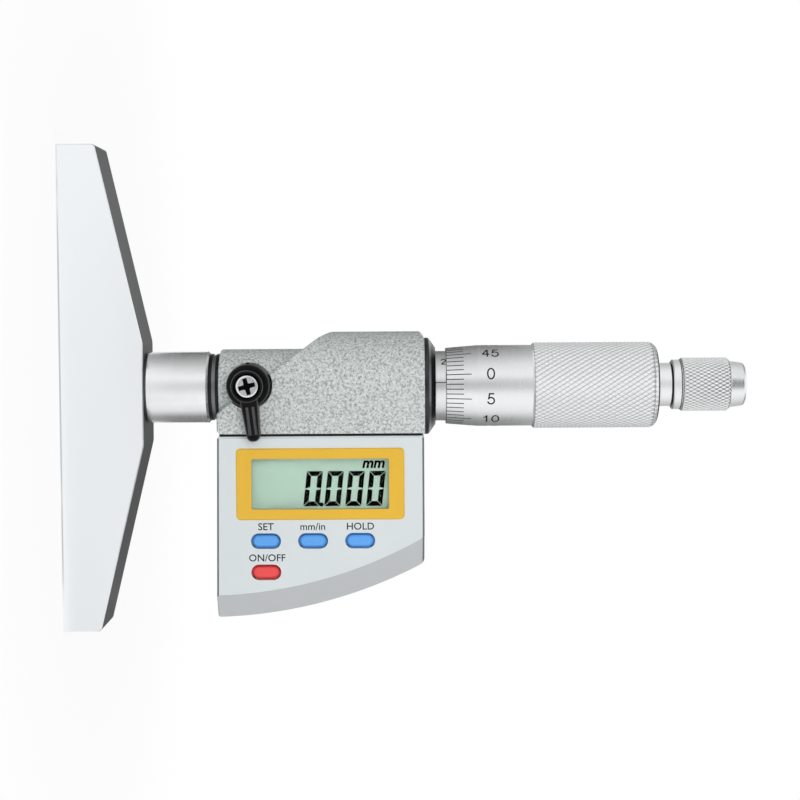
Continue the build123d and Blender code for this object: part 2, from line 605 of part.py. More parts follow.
def encoder_cable():
    """Flat cable from the encoder plate through the frame's slot to the circuit board."""
    run_x = CAVITY_R - GAP - CABLE_THICKNESS
    turn_x = HOUSING_TOP + HOUSING_WALL + EDGE
    low = (Align.MIN, Align.CENTER, Align.MIN)
    rise = Pos(run_x, 0, WIRE_SLOT_Z) * Box(CABLE_THICKNESS, CABLE_WIDTH, STATOR_Z - WIRE_SLOT_Z, align=low)
    drop = Pos(run_x, 0, WIRE_SLOT_Z) * Box(
        turn_x + CABLE_THICKNESS - run_x, CABLE_WIDTH, CABLE_THICKNESS, align=low)
    reach = CABLE_WIDTH / 2 - BOARD_BACK
    across = Pos(turn_x, CABLE_WIDTH / 2, WIRE_SLOT_Z) * Box(
        CABLE_THICKNESS, reach, CABLE_WIDTH, align=(Align.MIN, Align.MAX, Align.MIN))
    return rise + drop + across


def lever_outline(inset):
    """Front view of the lever's handle, tapering from the hub to a rounded tip."""
    root, tip = LEVER_ROOT_WIDTH / 2 - inset, LEVER_TIP_WIDTH / 2 - inset
    end = LEVER_LENGTH - inset
    handle = make_face(Polyline((-root, 0), (root, 0), (tip, end), (-tip, end), close=True))
    corners = handle.vertices().sort_by(Axis.Y)[-2:]
    return Pos(*LOCK_AXIS) * Rot(0, 0, -LEVER_ANGLE) * fillet(corners, 0.97 * tip)


def lock_lever():
    """Black lock lever: a tapered flange in the frame's pocket, a raised hub and a hollowed handle."""
    centre = LOCK_AXIS
    under = -LOCK_SEAT - 2 * RUN
    body = loft([
        front_plane(under) * Pos(*centre) * Circle(LEVER_FLANGE_R),
        front_plane(-LEVER_FLANGE_TOP) * Pos(*centre) * Circle(LEVER_FLANGE_TOP_R),
    ], ruled=True)
    body = fillet(body.edges().filter_by(GeomType.CIRCLE).sort_by(Axis.Y)[0], LEVER_EDGE_R)
    nub = (centre[0], centre[1] - LEVER_FLANGE_TOP_R)
    body += front_rod(nub, LEVER_NUB_R, -LEVER_FLANGE_TOP + LEVER_EDGE_R, -DRUM_R - LEVER_EDGE_R)
    hub = front_rod(centre, LEVER_HUB_R, -LEVER_HUB_TOP, under)
    body += fillet(hub.edges().filter_by(GeomType.CIRCLE).sort_by(Axis.Y)[0], LEVER_EDGE_R)
    handle = prism(lever_outline(0), -LEVER_TOP, -LEVER_UNDER)
    rim = [edge for edge in handle.edges() if abs(edge.center().Y + LEVER_TOP) < 1e-6]
    body += fillet(rim, LEVER_EDGE_R)
    hollow = prism(lever_outline(LEVER_RIM), -LEVER_TOP, -LEVER_TOP + LEVER_HOLLOW)
    body -= hollow - front_rod(centre, LEVER_HUB_R + LEVER_RIM, -LEVER_HUB_TOP, under)
    body -= front_rod(centre, LOCK_SCREW_HEAD_R + LEVER_RIM / 2, -LEVER_HUB_TOP, -LOCK_WEB_TOP)
    body -= front_rod(centre, LOCK_PIN_R + SEAT, -LEVER_UNDER, under)
    return body - front_rod(centre, LOCK_SCREW_R + SEAT, -LEVER_HUB_TOP, under)


def lock_screw():
    """Cross-recessed screw that holds the lever on the lock pin."""
    centre = LOCK_AXIS
    top = -LOCK_WEB_TOP - LOCK_SCREW_HEAD
    head = front_rod(centre, LOCK_SCREW_HEAD_R, top, -LOCK_WEB_TOP)
    head = fillet(head.edges().filter_by(GeomType.CIRCLE).sort_by(Axis.Y)[0], LOCK_SCREW_ROUND)
    cross = Rectangle(CROSS_LENGTH, CROSS_WIDTH) + Rectangle(CROSS_WIDTH, CROSS_LENGTH)
    cross = fillet(cross.vertices().sort_by_distance((0, 0, 0))[:4], CROSS_CORNER_R)
    head -= prism(Pos(*centre) * Rot(0, 0, CROSS_ANGLE) * cross, top, top + CROSS_DEPTH)
    return head + front_rod(centre, LOCK_SCREW_R, -LOCK_WEB_TOP, -LOCK_WEB_TOP + LOCK_SCREW_LENGTH)


def lock_pin():
    """Screw pin turned by the lever that presses the shoe on the spindle."""
    pin = front_rod(LOCK_AXIS, LOCK_PIN_R, -LEVER_UNDER, -SHOE_BACK)
    screw_end = -LOCK_WEB_TOP + LOCK_SCREW_LENGTH
    return pin - front_rod(LOCK_AXIS, LOCK_SCREW_R + SEAT, -LEVER_UNDER, screw_end)


def lock_shoe():
    """Brass shoe between lock pin and spindle."""
    return front_rod(LOCK_AXIS, LOCK_PIN_R, -SHOE_BACK, -SPINDLE_R - RUN)


def chin_height(along, inset):
    """Distance of the housing's curved lower edge from the spindle axis, at a height along the spindle."""
    tall, low = HOUSING_TOP + HOUSING_TALL, HOUSING_TOP + HOUSING_LOW
    chord = math.hypot(HOUSING_LENGTH, tall - low)
    reach = math.sqrt(CHIN_R ** 2 - chord ** 2 / 4)
    centre_z = HOUSING_Z + HOUSING_LENGTH / 2 - reach * (tall - low) / chord
    centre_x = (tall + low) / 2 - reach * HOUSING_LENGTH / chord
    return centre_x + math.sqrt((CHIN_R - inset) ** 2 - (along - centre_z) ** 2)


def housing_outline(inset, chin):
    """Front view of the display housing, moved inwards all round and separately at the curved lower edge."""
    left, right = HOUSING_Z + inset, HOUSING_Z + HOUSING_LENGTH - inset
    top = HOUSING_TOP + inset
    middle = (left + right) / 2
    foot = left - HOUSING_FLARE
    lower = [(along, chin_height(along, chin)) for along in (foot, middle, right)]
    outline = make_face([
        ThreePointArc(*lower),
        Polyline(lower[2], (right, top), (left, top), lower[0]),
    ])
    corners = outline.vertices().sort_by(Axis.Y)
    outline = fillet(corners[:2], max(HOUSING_CORNER_R - inset / 2, EDGE))
    corners = outline.vertices().sort_by_distance((*lower[0], 0))
    outline = fillet(corners[0], max(HOUSING_CORNER_R - inset / 2, EDGE))
    corners = outline.vertices().sort_by_distance((*lower[2], 0))
    return fillet(corners[0], max(CHIN_CORNER_R - inset / 2, EDGE))


def front_block(inset, front, chin, bevel_end):
    """The housing's front half as a solid: a bevel along the lower edge, then straight to the parting."""
    bevel = loft([
        front_plane(front) * housing_outline(inset, chin),
        front_plane(bevel_end) * housing_outline(inset, inset),
    ], ruled=True)
    return bevel + prism(housing_outline(inset, inset), bevel_end, PARTING_Y)


def broken_edge():
    """What a small chamfer on the front face's straight sides leaves of the housing's front."""
    rim = loft([
        front_plane(FACE_Y) * housing_outline(HOUSING_EDGE, 0),
        front_plane(FACE_Y + HOUSING_EDGE) * housing_outline(0, 0),
    ], ruled=True)
    return rim + prism(housing_outline(0, 0), FACE_Y + HOUSING_EDGE, PARTING_Y)


def boss_places():
    """Axes of the four cover screws on the front view."""
    left, right = HOUSING_Z + BOSS_INSET, HOUSING_Z + HOUSING_LENGTH - BOSS_INSET
    top = HOUSING_TOP + BOSS_INSET
    return [
        (left, top), (right, top),
        (left, chin_height(left, BOSS_CHIN_INSET)), (right, chin_height(right, BOSS_CHIN_INSET)),
    ]


def housing_front():
    """Front cover: bevelled shell with openings for the display and the buttons."""
    slant = math.hypot(CHIN_BEVEL, CHIN_BEVEL_DEPTH)
    inner_chin = CHIN_BEVEL + HOUSING_WALL * (slant - CHIN_BEVEL) / CHIN_BEVEL_DEPTH
    inner_end = FACE_Y + CHIN_BEVEL_DEPTH + HOUSING_WALL * (slant - CHIN_BEVEL_DEPTH) / CHIN_BEVEL
    shell = front_block(0, FACE_Y, CHIN_BEVEL, FACE_Y + CHIN_BEVEL_DEPTH)
    shell &= broken_edge()
    room = front_block(HOUSING_WALL, INNER_Y, inner_chin, inner_end)
    for place in boss_places():
        room -= front_rod(place, BOSS_R, FACE_Y, PARTING_Y)
    shell -= room
    for place in boss_places():
        shell -= front_rod(place, COVER_SCREW_R + SEAT, PARTING_Y - COVER_SCREW_BITE, PARTING_Y)
    bezel_seat = RectangleRounded(BEZEL_LENGTH + 2 * SEAT, BEZEL_WIDTH + 2 * SEAT, BEZEL_CORNER_R)
    shell -= prism(Pos(*BEZEL_CENTRE) * bezel_seat, FACE_Y, WINDOW_Y)
    opening = Rectangle(SCREEN_LENGTH + 2 * WINDOW_OVERLAP, SCREEN_WIDTH + 2 * WINDOW_OVERLAP)
    shell -= prism(Pos(*SCREEN_CENTRE) * opening, FACE_Y, INNER_Y)
    for place in BUTTONS.values():
        shell -= prism(Pos(*place) * SlotOverall(BUTTON_LENGTH, BUTTON_WIDTH), FACE_Y, INNER_Y)
    return shell - housing_top_cuts(FACE_Y, PARTING_Y)


def housing_top_cuts(front, back):
    """Cable slot and screw holes in the wall that sits on the frame, within a range of depths."""
    wall = HOUSING_TOP + HOUSING_WALL / 2
    cuts = Pos(wall, 0, WIRE_SLOT_Z) * Box(2 * HOUSING_WALL, WIRE_SLOT_WIDTH, WIRE_SLOT_LENGTH)
    for place in FRAME_SCREWS:
        cuts += side_rod(place, FRAME_SCREW_R + SEAT, HOUSING_TOP - EDGE, HOUSING_TOP + HOUSING_WALL + EDGE)
    depth = back - front
    return cuts & Pos(wall, (front + back) / 2, HOUSING_Z + HOUSING_LENGTH / 2) * Box(
        4 * HOUSING_WALL, depth, HOUSING_LENGTH)


def side_rod(place, radius, near, far):
    """A round rod across the housing's top wall, at a height and a depth behind the spindle axis."""
    height, depth = place
    return Pos(near, depth, height) * Rot(0, 90, 0) * Cylinder(
        radius, far - near, align=(Align.CENTER, Align.CENTER, Align.MIN))


def housing_rear():
    """Rear cover: rounded shell with a round battery well and columns for the cover screws."""
    shell = prism(housing_outline(0, 0), PARTING_Y, HOUSING_BACK)
    rim = [edge for edge in shell.edges() if abs(edge.center().Y - HOUSING_BACK) < 1e-6]
    shell = fillet(rim, BACK_EDGE_R)
    room = prism(housing_outline(HOUSING_WALL, HOUSING_WALL), PARTING_Y, HOUSING_BACK - HOUSING_WALL)
    room -= front_rod(CELL_CENTRE, CAP_R + GAP + WELL_WALL, WELL_Y, HOUSING_BACK)
    for place in boss_places():
        room -= front_rod(place, BOSS_R, PARTING_Y, HOUSING_BACK)
    shell -= room
    shell -= front_rod(CELL_CENTRE, CAP_R + GAP, CONTACT_Y, HOUSING_BACK)
    for place in boss_places():
        shell -= front_rod(place, COVER_SCREW_R + GAP, PARTING_Y, HOUSING_BACK)
        shell -= front_rod(place, COVER_SCREW_HEAD_R + GAP, SCREW_HEAD_Y, HOUSING_BACK)
    for place in contact_legs():
        shell -= front_rod(place, CONTACT_LEG_R + SEAT, WELL_Y, CONTACT_Y)
    return shell - housing_top_cuts(PARTING_Y, HOUSING_BACK)


def housing_gasket():
    """Black gasket between the frame and the display housing."""
    left, right = HOUSING_Z + EDGE, HOUSING_Z + HOUSING_LENGTH - EDGE
    back = HOUSING_BACK - BACK_EDGE_R
    middle = (HOUSING_TOP - GASKET / 2, (back - DRUM_R + EDGE) / 2, (left + right) / 2)
    sheet = Pos(*middle) * Box(GASKET, back + DRUM_R - EDGE, right - left)
    sheet -= Pos(HOUSING_TOP, 0, WIRE_SLOT_Z) * Box(4 * GASKET, WIRE_SLOT_WIDTH, WIRE_SLOT_LENGTH)
    for place in FRAME_SCREWS:
        sheet -= side_rod(place, FRAME_SCREW_R + SEAT, FRAME_DROP - EDGE, HOUSING_TOP + EDGE)
    return sheet


def frame_screws():
    """Two screws inside the housing that hold it to the frame."""
    seat = HOUSING_TOP + HOUSING_WALL
    screws = []
    for place in FRAME_SCREWS:
        shank = side_rod(place, FRAME_SCREW_R, FRAME_DROP - FRAME_SCREW_GRIP, seat)
        head = side_rod(place, FRAME_SCREW_HEAD_R, seat, seat + FRAME_SCREW_HEAD)
        height, depth = place
        slot = Box(2 * SCREW_SLOT_DEPTH, SCREW_SLOT_WIDTH, 3 * FRAME_SCREW_HEAD_R)
        screws.append(shank + head - Pos(seat + FRAME_SCREW_HEAD, depth, height) * slot)
    return Compound(children=screws)


def cover_screws():
    """Four cross-recessed screws that join the two covers from the back."""
    screws = []
    for place in boss_places():
        head = front_rod(place, COVER_SCREW_HEAD_R, SCREW_HEAD_Y, SCREW_HEAD_Y + COVER_SCREW_HEAD)
        shank = front_rod(place, COVER_SCREW_R, PARTING_Y - COVER_SCREW_BITE + GAP, SCREW_HEAD_Y)
        cross = Rectangle(COVER_CROSS, COVER_CROSS / 4) + Rectangle(COVER_CROSS / 4, COVER_CROSS)
        top = SCREW_HEAD_Y + COVER_SCREW_HEAD
        screws.append(head + shank - prism(Pos(*place) * cross, top - COVER_SCREW_HEAD / 2, top))
    return Compound(children=screws)


def display_bezel():
    """Yellow frame round the display, with rounded corners inside and out."""
    outer = RectangleRounded(BEZEL_LENGTH, BEZEL_WIDTH, BEZEL_CORNER_R)
    plate = prism(Pos(*BEZEL_CENTRE) * outer, FACE_Y - BEZEL_PROUD, WINDOW_Y)
    rim = [edge for edge in plate.edges() if abs(edge.center().Y - FACE_Y + BEZEL_PROUD) < 1e-6]
    plate = chamfer(rim, BEZEL_PROUD / 2)
    opening = RectangleRounded(SCREEN_LENGTH, SCREEN_WIDTH, SCREEN_CORNER_R)
    return plate - prism(Pos(*SCREEN_CENTRE) * opening, FACE_Y - BEZEL_PROUD, WINDOW_Y)


def display_window():
    """Clear window behind the bezel."""
    pane = Rectangle(SCREEN_LENGTH + 2 * WINDOW_OVERLAP - SEAT, SCREEN_WIDTH + 2 * WINDOW_OVERLAP - SEAT)
    return prism(Pos(*SCREEN_CENTRE) * pane, WINDOW_Y, WINDOW_Y + WINDOW_THICKNESS)


def lcd_panel():
    """Liquid crystal panel behind the window."""
    panel = Rectangle(SCREEN_LENGTH + 2 * LCD_OVERHANG, SCREEN_WIDTH + 2 * LCD_OVERHANG)
    return prism(Pos(*SCREEN_CENTRE) * panel, LCD_Y, ZEBRA_Y)


def zebra_strips():
    """Two rubber strips that join the panel to the circuit board."""
    offset = (SCREEN_WIDTH + 2 * LCD_OVERHANG - ZEBRA_WIDTH) / 2
    strips = []
    for side in (-1, 1):
        place = (SCREEN_CENTRE[0], SCREEN_CENTRE[1] + side * offset)
        strips.append(prism(Pos(*place) * Rectangle(SCREEN_LENGTH, ZEBRA_WIDTH), ZEBRA_Y, BOARD_Y))
    return Compound(children=strips)


def circuit_board():
    """Circuit board with its controller, notched round the screw bosses."""
    inset = HOUSING_WALL + BOARD_CLEARANCE
    board = prism(housing_outline(inset, inset), BOARD_Y, BOARD_BACK)
    for place in boss_places():
        board -= front_rod(place, BOSS_R + BOARD_CLEARANCE, BOARD_Y, BOARD_BACK)
    chip = Pos(*SCREEN_CENTRE) * Rectangle(CHIP, CHIP)
    board += prism(chip, BOARD_BACK, BOARD_BACK + CHIP_HEIGHT)
    for place in contact_legs():
        board -= front_rod(place, CONTACT_LEG_R + SEAT, BOARD_Y, BOARD_BACK)
    return board


def button_pad():
    """Rubber pad on the circuit board with one dome under each button."""
    length, width = BUTTON_LENGTH + PAD_MARGIN, BUTTON_WIDTH + PAD_MARGIN
    row = [BUTTONS["origin_button"], BUTTONS["hold_button"]]
    strip = Pos((row[0][0] + row[1][0]) / 2, row[0][1]) * Rectangle(row[1][0] - row[0][0] + length, width)
    low = BUTTONS["power_button"]
    pitch = POWER_ROW - BUTTON_ROW
    flap = Pos(low[0], low[1] - pitch / 2) * Rectangle(length, pitch + width)
    front = BOARD_Y - PAD_THICKNESS
    pad = prism(strip + flap, front, BOARD_Y)
    for place in BUTTONS.values():
        pad += front_rod(place, DOME_R, BUTTON_LIP_Y + BUTTON_TRAVEL + GAP, front)
    return pad


def push_button(name):
    """One push button: an oval cap with a lip behind the front cover."""
    place = Pos(*BUTTONS[name])
    length, width = BUTTON_LENGTH - 2 * BUTTON_GAP, BUTTON_WIDTH - 2 * BUTTON_GAP
    cap = prism(place * SlotOverall(length, width), FACE_Y - BUTTON_PROUD, BUTTON_LIP_Y)
    rim = [edge for edge in cap.edges() if abs(edge.center().Y - FACE_Y + BUTTON_PROUD) < 1e-6]
    cap = chamfer(rim, BUTTON_ROUND)
    lip = SlotOverall(BUTTON_LENGTH + BUTTON_LIP, BUTTON_WIDTH + BUTTON_LIP)
    return cap + prism(place * lip, BUTTON_LIP_Y - BUTTON_LIP_THICKNESS, BUTTON_LIP_Y)


def contact_legs():
    """Places where the battery contact's legs pass through the well's floor."""
    along, across = CELL_CENTRE
    return [(along - CONTACT_LEG_PITCH / 2, across), (along + CONTACT_LEG_PITCH / 2, across)]


def battery():
    """Coin cell with a stepped rim."""
    cell = front_rod(CELL_CENTRE, CELL_R, CELL_Y + CELL_STEP, CELL_Y + CELL_THICKNESS)
    return cell + front_rod(CELL_CENTRE, CELL_R - 2 * CELL_STEP, CELL_Y, CELL_Y + CELL_STEP)


def battery_contact():
    """Spring contact under the cell, with two legs to the circuit board."""
    strip = Pos(*CELL_CENTRE) * Rectangle(CONTACT_LENGTH, CONTACT_WIDTH)
    contact = prism(strip, CONTACT_Y, CELL_Y)
    for place in contact_legs():
        contact += front_rod(place, CONTACT_LEG_R, BOARD_Y + EDGE, CONTACT_Y)
    return contact


def battery_cap():
    """Screw cap of the battery well with a coin slot and a groove for its seal."""
    back = HOUSING_BACK + CAP_PROUD
    cap = front_rod(CELL_CENTRE, CAP_R, CAP_Y, back)
    cap = chamfer(cap.edges().filter_by(GeomType.CIRCLE).sort_by(Axis.Y)[-1], CAP_PROUD)
    slot = Pos(*CELL_CENTRE) * SlotOverall(COIN_SLOT_LENGTH, COIN_SLOT_WIDTH)
    cap -= prism(slot, back - COIN_SLOT_DEPTH, back)
    groove = Pos(*CELL_CENTRE) * (Circle(CAP_R) - Circle(CAP_R - CAP_SEAL))
    return cap - prism(groove, CAP_Y + CAP_SEAL / 2, CAP_Y + 3 * CAP_SEAL / 2)


def battery_seal():
    """Rubber ring in the cap's groove."""
    ring = Pos(*CELL_CENTRE) * (Circle(CAP_R + GAP / 2) - Circle(CAP_R - CAP_SEAL + SEAT))
    return prism(ring, CAP_Y + CAP_SEAL / 2 + SEAT, CAP_Y + 3 * CAP_SEAL / 2 - SEAT)


def export_all():
    """Write one STEP file for every sub-part."""
    makers = {
        maker.__name__: maker
        for maker in (
            base, stem, stem_seal, frame, rear_collar, inner_sleeve, sleeve, adjusting_nut,
            spindle, thimble, ratchet_shaft, ratchet_wheel, ratchet_screw, ratchet_knob, pawl_spring,
            encoder_rotor, rotor_key, encoder_stator, encoder_cable,
            lock_lever, lock_screw, lock_pin, lock_shoe,
            housing_front, housing_rear, housing_gasket, frame_screws, cover_screws,
            display_bezel, display_window, lcd_panel, zebra_strips, circuit_board, button_pad,
            battery, battery_contact, battery_cap, battery_seal,
        )
    }
    os.makedirs("parts", exist_ok=True)
    for name, maker in makers.items():
        export_step(maker(), f"parts/{name}.step")
    for name in BUTTONS:
        export_step(push_button(name), f"parts/{name}.step")


export_all()
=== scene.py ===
import json
import math

import bmesh
import bpy
from mathutils import Matrix, Vector

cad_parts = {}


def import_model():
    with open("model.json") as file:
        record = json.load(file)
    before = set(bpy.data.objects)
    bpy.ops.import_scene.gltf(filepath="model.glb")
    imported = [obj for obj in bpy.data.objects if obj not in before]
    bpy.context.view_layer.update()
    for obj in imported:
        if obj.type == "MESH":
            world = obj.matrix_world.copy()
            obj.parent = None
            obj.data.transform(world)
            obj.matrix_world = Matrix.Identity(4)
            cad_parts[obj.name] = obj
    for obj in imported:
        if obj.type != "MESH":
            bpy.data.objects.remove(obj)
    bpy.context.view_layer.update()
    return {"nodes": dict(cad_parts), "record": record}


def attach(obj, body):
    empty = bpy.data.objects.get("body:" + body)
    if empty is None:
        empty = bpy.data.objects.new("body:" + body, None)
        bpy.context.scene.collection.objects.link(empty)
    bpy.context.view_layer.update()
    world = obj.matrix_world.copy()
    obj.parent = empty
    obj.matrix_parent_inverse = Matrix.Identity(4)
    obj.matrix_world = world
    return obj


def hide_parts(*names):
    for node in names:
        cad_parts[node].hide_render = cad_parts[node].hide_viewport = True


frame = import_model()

MM = 0.001

# Heights and radii of the part in millimetres, heights from the base's measuring face
COLLAR_TOP = 77.13
COLLAR_R = 10.05
SEAL_R = 6.95
THIMBLE_Z = 79.28
BEVEL_TOP = THIMBLE_Z + 6.45
GRIP_Z = THIMBLE_Z + 17.85
THIMBLE_TOP = THIMBLE_Z + 43.85
THIMBLE_FLOOR = THIMBLE_TOP - 8.0
THIMBLE_BORE = 7.45
THIMBLE_LIP_R = 7.88
THIMBLE_R = 8.42
GRIP_R = 8.94
GRIP_ROUND = 1.7
GRIP_DEPTH = 0.2
TAIL_BORE = 3.02
SLEEVE_R = 7.25
NECK_R = 4.55
NECK_GROOVE = 0.4
KNOB_Z = THIMBLE_TOP + 3.25
KNOB_RING_R = 5.2
KNOB_RING_EDGE = 0.2
KNOB_GRIP_Z = KNOB_Z + 1.75
KNOB_R = 5.56
KNOB_DEPTH = 0.3
KNOB_GRIP_EDGE = 0.4
KNOB_GRIP_TOP = KNOB_GRIP_Z + 10.1
KNOB_CONE_R = 4.9
KNOB_END_R = 4.45
KNOB_END_ROUND = 0.8
KNOB_TOP = KNOB_GRIP_TOP + 3.35
KNOB_MOUTH = 4.7
KNOB_WEB_Z = KNOB_Z + 5.55
KNOB_WEB_TOP = KNOB_WEB_Z + 3.0
POST_BORE = 1.64
SCREW_POCKET = 2.75

# Knurls: grooves round the part, pitch along it, and mesh steps to a groove
GRIP_GROOVES = 54
GRIP_PITCH = 1.6
KNOB_GROOVES = 42
KNOB_PITCH = 1.5
KNURL_STEPS = 8

# Front faces: heights along Y
FACE_Y = -12.0
LCD_Y = -10.05
SCREW_TOP = -16.1

# Lock lever: its axis, its arm's direction in degrees and the reach of the arm's groove
LEVER_X = -0.8
LEVER_Z = 39.1
LEVER_ANGLE = 6.8
LEVER_ARM_START = 4.2
LEVER_ARM_STOP = 9.9
LEVER_GROOVE_SIDE = 0.62
LEVER_GROOVE_EDGE = 0.28

# Angles round the spindle, in degrees from the front towards +X
INDEX_ANGLE = -8.0
ZERO_ANGLE = -19.1
DIVISIONS = 50

# Ink and the painted shade lines reach this far into the surface and out of it
INK_SUNK = 0.03
INK_PROUD = 0.012


def linear(red, green, blue):
    """Scene colour of a display colour given in 0 to 255."""
    def one(value):
        value /= 255
        return value / 12.92 if value <= 0.04045 else ((value + 0.055) / 1.055) ** 2.4
    return (one(red), one(green), one(blue), 1.0)


def shaded(colour, share):
    """A colour taken down to a share of its light."""
    return tuple(share * value for value in colour[:3]) + (1.0,)


AROUND = (0.05, 0.05, 1.0)
STEEL = linear(244, 245, 246)
CHROME = linear(244, 245, 246)
HOUSING_TONE = linear(224, 231, 233)
# Painted light on the base's slopes: tone added per millimetre from the bar's middle
PAINTED_SLOPE_LIGHT = 0.0055


class Shader:
    """A material with a Principled shader and a short way to add nodes to it."""

    def __init__(self, name, colour, roughness, metallic=0.0, **sockets):
        self.material = bpy.data.materials.new(name)
        self.material.use_nodes = True
        self.tree = self.material.node_tree
        self.bsdf = self.tree.nodes["Principled BSDF"]
        self.bsdf.inputs["Base Color"].default_value = colour
        self.bsdf.inputs["Roughness"].default_value = roughness
        self.bsdf.inputs["Metallic"].default_value = metallic
        for key, value in sockets.items():
            self.bsdf.inputs[key.replace("_", " ")].default_value = value
        self.coordinates = self.node("ShaderNodeTexCoord")
        self.where = self.coordinates.outputs["Object"]

    def node(self, kind, **values):
        node = self.tree.nodes.new(kind)
        for key, value in values.items():
            setattr(node, key, value)
        return node

    def link(self, source, target):
        self.tree.links.new(source, target)

    def mapped(self, stretch):
        """Object coordinates, stretched by a factor on each axis."""
        mapping = self.node("ShaderNodeMapping")
        mapping.inputs["Scale"].default_value = stretch
        self.link(self.where, mapping.inputs["Vector"])
        return mapping.outputs["Vector"]

    def noise(self, size_mm, detail=3.0, stretch=None, rough=0.55):
        """Noise whose features are about size_mm across."""
        node = self.node("ShaderNodeTexNoise")
        node.inputs["Scale"].default_value = 1 / (size_mm * MM)
        node.inputs["Detail"].default_value = detail
        node.inputs["Roughness"].default_value = rough
        self.link(self.mapped(stretch) if stretch else self.where, node.inputs["Vector"])
        return node.outputs["Fac"]

    def axis(self, vector, name):
        """One axis of a vector."""
        split = self.node("ShaderNodeSeparateXYZ")
        self.link(vector, split.inputs[0])
        return split.outputs[name]

    def place(self, name):
        """The point's own place along one axis, in metres."""
        return self.axis(self.where, name)

    def normal(self, name):
        """One part of the surface's direction."""
        return self.axis(self.coordinates.outputs["Normal"], name)

    def radius(self):
        """Distance from the spindle axis, in metres."""
        flat = self.node("ShaderNodeVectorMath", operation="MULTIPLY")
        flat.inputs[1].default_value = (1.0, 1.0, 0.0)
        self.link(self.where, flat.inputs[0])
        length = self.node("ShaderNodeVectorMath", operation="LENGTH")
        self.link(flat.outputs["Vector"], length.inputs[0])
        return length.outputs["Value"]

    def math(self, operation, first, second=None):
        """A calculation on one or two values, each a number or another node's output."""
        node = self.node("ShaderNodeMath", operation=operation)
        for socket, value in zip(node.inputs, (first, second)):
            if isinstance(value, bpy.types.NodeSocket):
                self.link(value, socket)
            elif value is not None:
                socket.default_value = value
        return node.outputs["Value"]

    def total(self, first, *others):
        """Sum of two or more values."""
        for other in others:
            first = self.math("ADD", first, other)
        return first

    def spread(self, source, low, high, start=0.3, stop=0.7):
        """The source's start to stop range carried to low to high."""
        node = self.node("ShaderNodeMapRange")
        for key, value in (("From Min", start), ("From Max", stop), ("To Min", low), ("To Max", high)):
            node.inputs[key].default_value = value
        self.link(source, node.inputs["Value"])
        return node.outputs["Result"]

    def colours(self, source, first, second, start=0.3, stop=0.7):
        """Base colour that runs from first to second with the source."""
        ramp = self.node("ShaderNodeValToRGB")
        ramp.color_ramp.elements[0].position = start
        ramp.color_ramp.elements[1].position = stop
        ramp.color_ramp.elements[0].color = first
        ramp.color_ramp.elements[1].color = second
        self.link(source, ramp.inputs["Fac"])
        self.link(ramp.outputs["Color"], self.bsdf.inputs["Base Color"])
        return ramp

    def tones(self, source, steps):
        """Base colour that runs through (position, colour) steps with the source."""
        ramp = self.colours(source, steps[0][1], steps[-1][1], steps[0][0], steps[-1][0])
        for position, colour in steps[1:-1]:
            ramp.color_ramp.elements.new(position).color = colour

    def roughness(self, source, low, high):
        """Roughness that runs from low to high with the source."""
        self.link(self.spread(source, low, high), self.bsdf.inputs["Roughness"])

    def bump(self, source, depth_mm, strength=1.0):
        """Bump of about depth_mm from the source."""
        node = self.node("ShaderNodeBump")
        node.inputs["Strength"].default_value = strength
        node.inputs["Distance"].default_value = depth_mm * MM
        self.link(source, node.inputs["Height"])
        self.link(node.outputs["Normal"], self.bsdf.inputs["Normal"])

    def scratched(self, low, high):
        """Fine scratches round the spindle, with a roughness from low to high."""
        scratches = self.noise(0.22, detail=4, stretch=AROUND)
        self.roughness(scratches, low, high)
        self.bump(scratches, 0.004, strength=0.35)

    def grained(self, rough, grain_mm, depth_mm):
        """Fine moulded grain, with a roughness that varies about the one given."""
        grain = self.noise(grain_mm, detail=3)
        self.bump(grain, depth_mm, strength=0.5)
        self.roughness(grain, rough - 0.05, rough + 0.06)


def base_bar():
    """Base bar: pale front, back and measuring face, finished by grinding; painted shade makes the broken
    edges grey and the slopes and ends darker.

    The painted tone follows how far the surface faces front, back or down. Faces that look up get a little
    painted highlight of their own, a bright line on the slope rims, and the slopes get painted light that
    grows away from the bar's middle.
    """
    # Painted shade: the grey and darker tones below; the white is a painted highlight for the slope rims
    slope, painted_lit_slope = linear(112, 114, 116), linear(136, 138, 140)
    edge, painted_edge_light = linear(192, 195, 197), linear(200, 203, 205)
    white, face = linear(255, 255, 255), linear(248, 251, 253)
    shader = Shader("base_steel", linear(236, 239, 241), 0.34, metallic=1.0)
    scratches = shader.noise(0.3, detail=4, stretch=(1.0, 1.0, 0.05))
    shader.bump(scratches, 0.003, strength=0.3)
    facing = shader.math("ABSOLUTE", shader.normal("Y"))
    upward = shader.normal("Z")
    # How far the surface faces front, back or down: it sets the painted light and shade, and the roughness
    ground_and_lit_facing = shader.math("MAXIMUM", facing, shader.math("MULTIPLY", upward, -1.0))
    clouds = shader.math("MULTIPLY", shader.noise(16.0, detail=2), 0.12)
    # Painted highlight on faces that look up, brightest on the slope rims
    rim = shader.math("MULTIPLY", shader.math("MAXIMUM", upward, 0.0), 0.2)
    # Painted light: the slopes grow lighter towards the bar's ends
    off_middle = shader.math("MULTIPLY", shader.math("ABSOLUTE", shader.place("X")), PAINTED_SLOPE_LIGHT / MM)
    painted_end_light = shader.math("MULTIPLY", off_middle, shader.math("SUBTRACT", 1.0, ground_and_lit_facing))
    shader.tones(shader.total(ground_and_lit_facing, rim, clouds, painted_end_light), (
        (0.28, slope), (0.5, painted_lit_slope), (0.58, painted_lit_slope), (0.72, edge), (0.81, painted_edge_light),
        (0.87, white), (0.94, white), (1.0, face),
    ))
    shader.link(shader.spread(ground_and_lit_facing, 0.3, 0.34, 0.5, 0.7), shader.bsdf.inputs["Roughness"])
    return shader.material


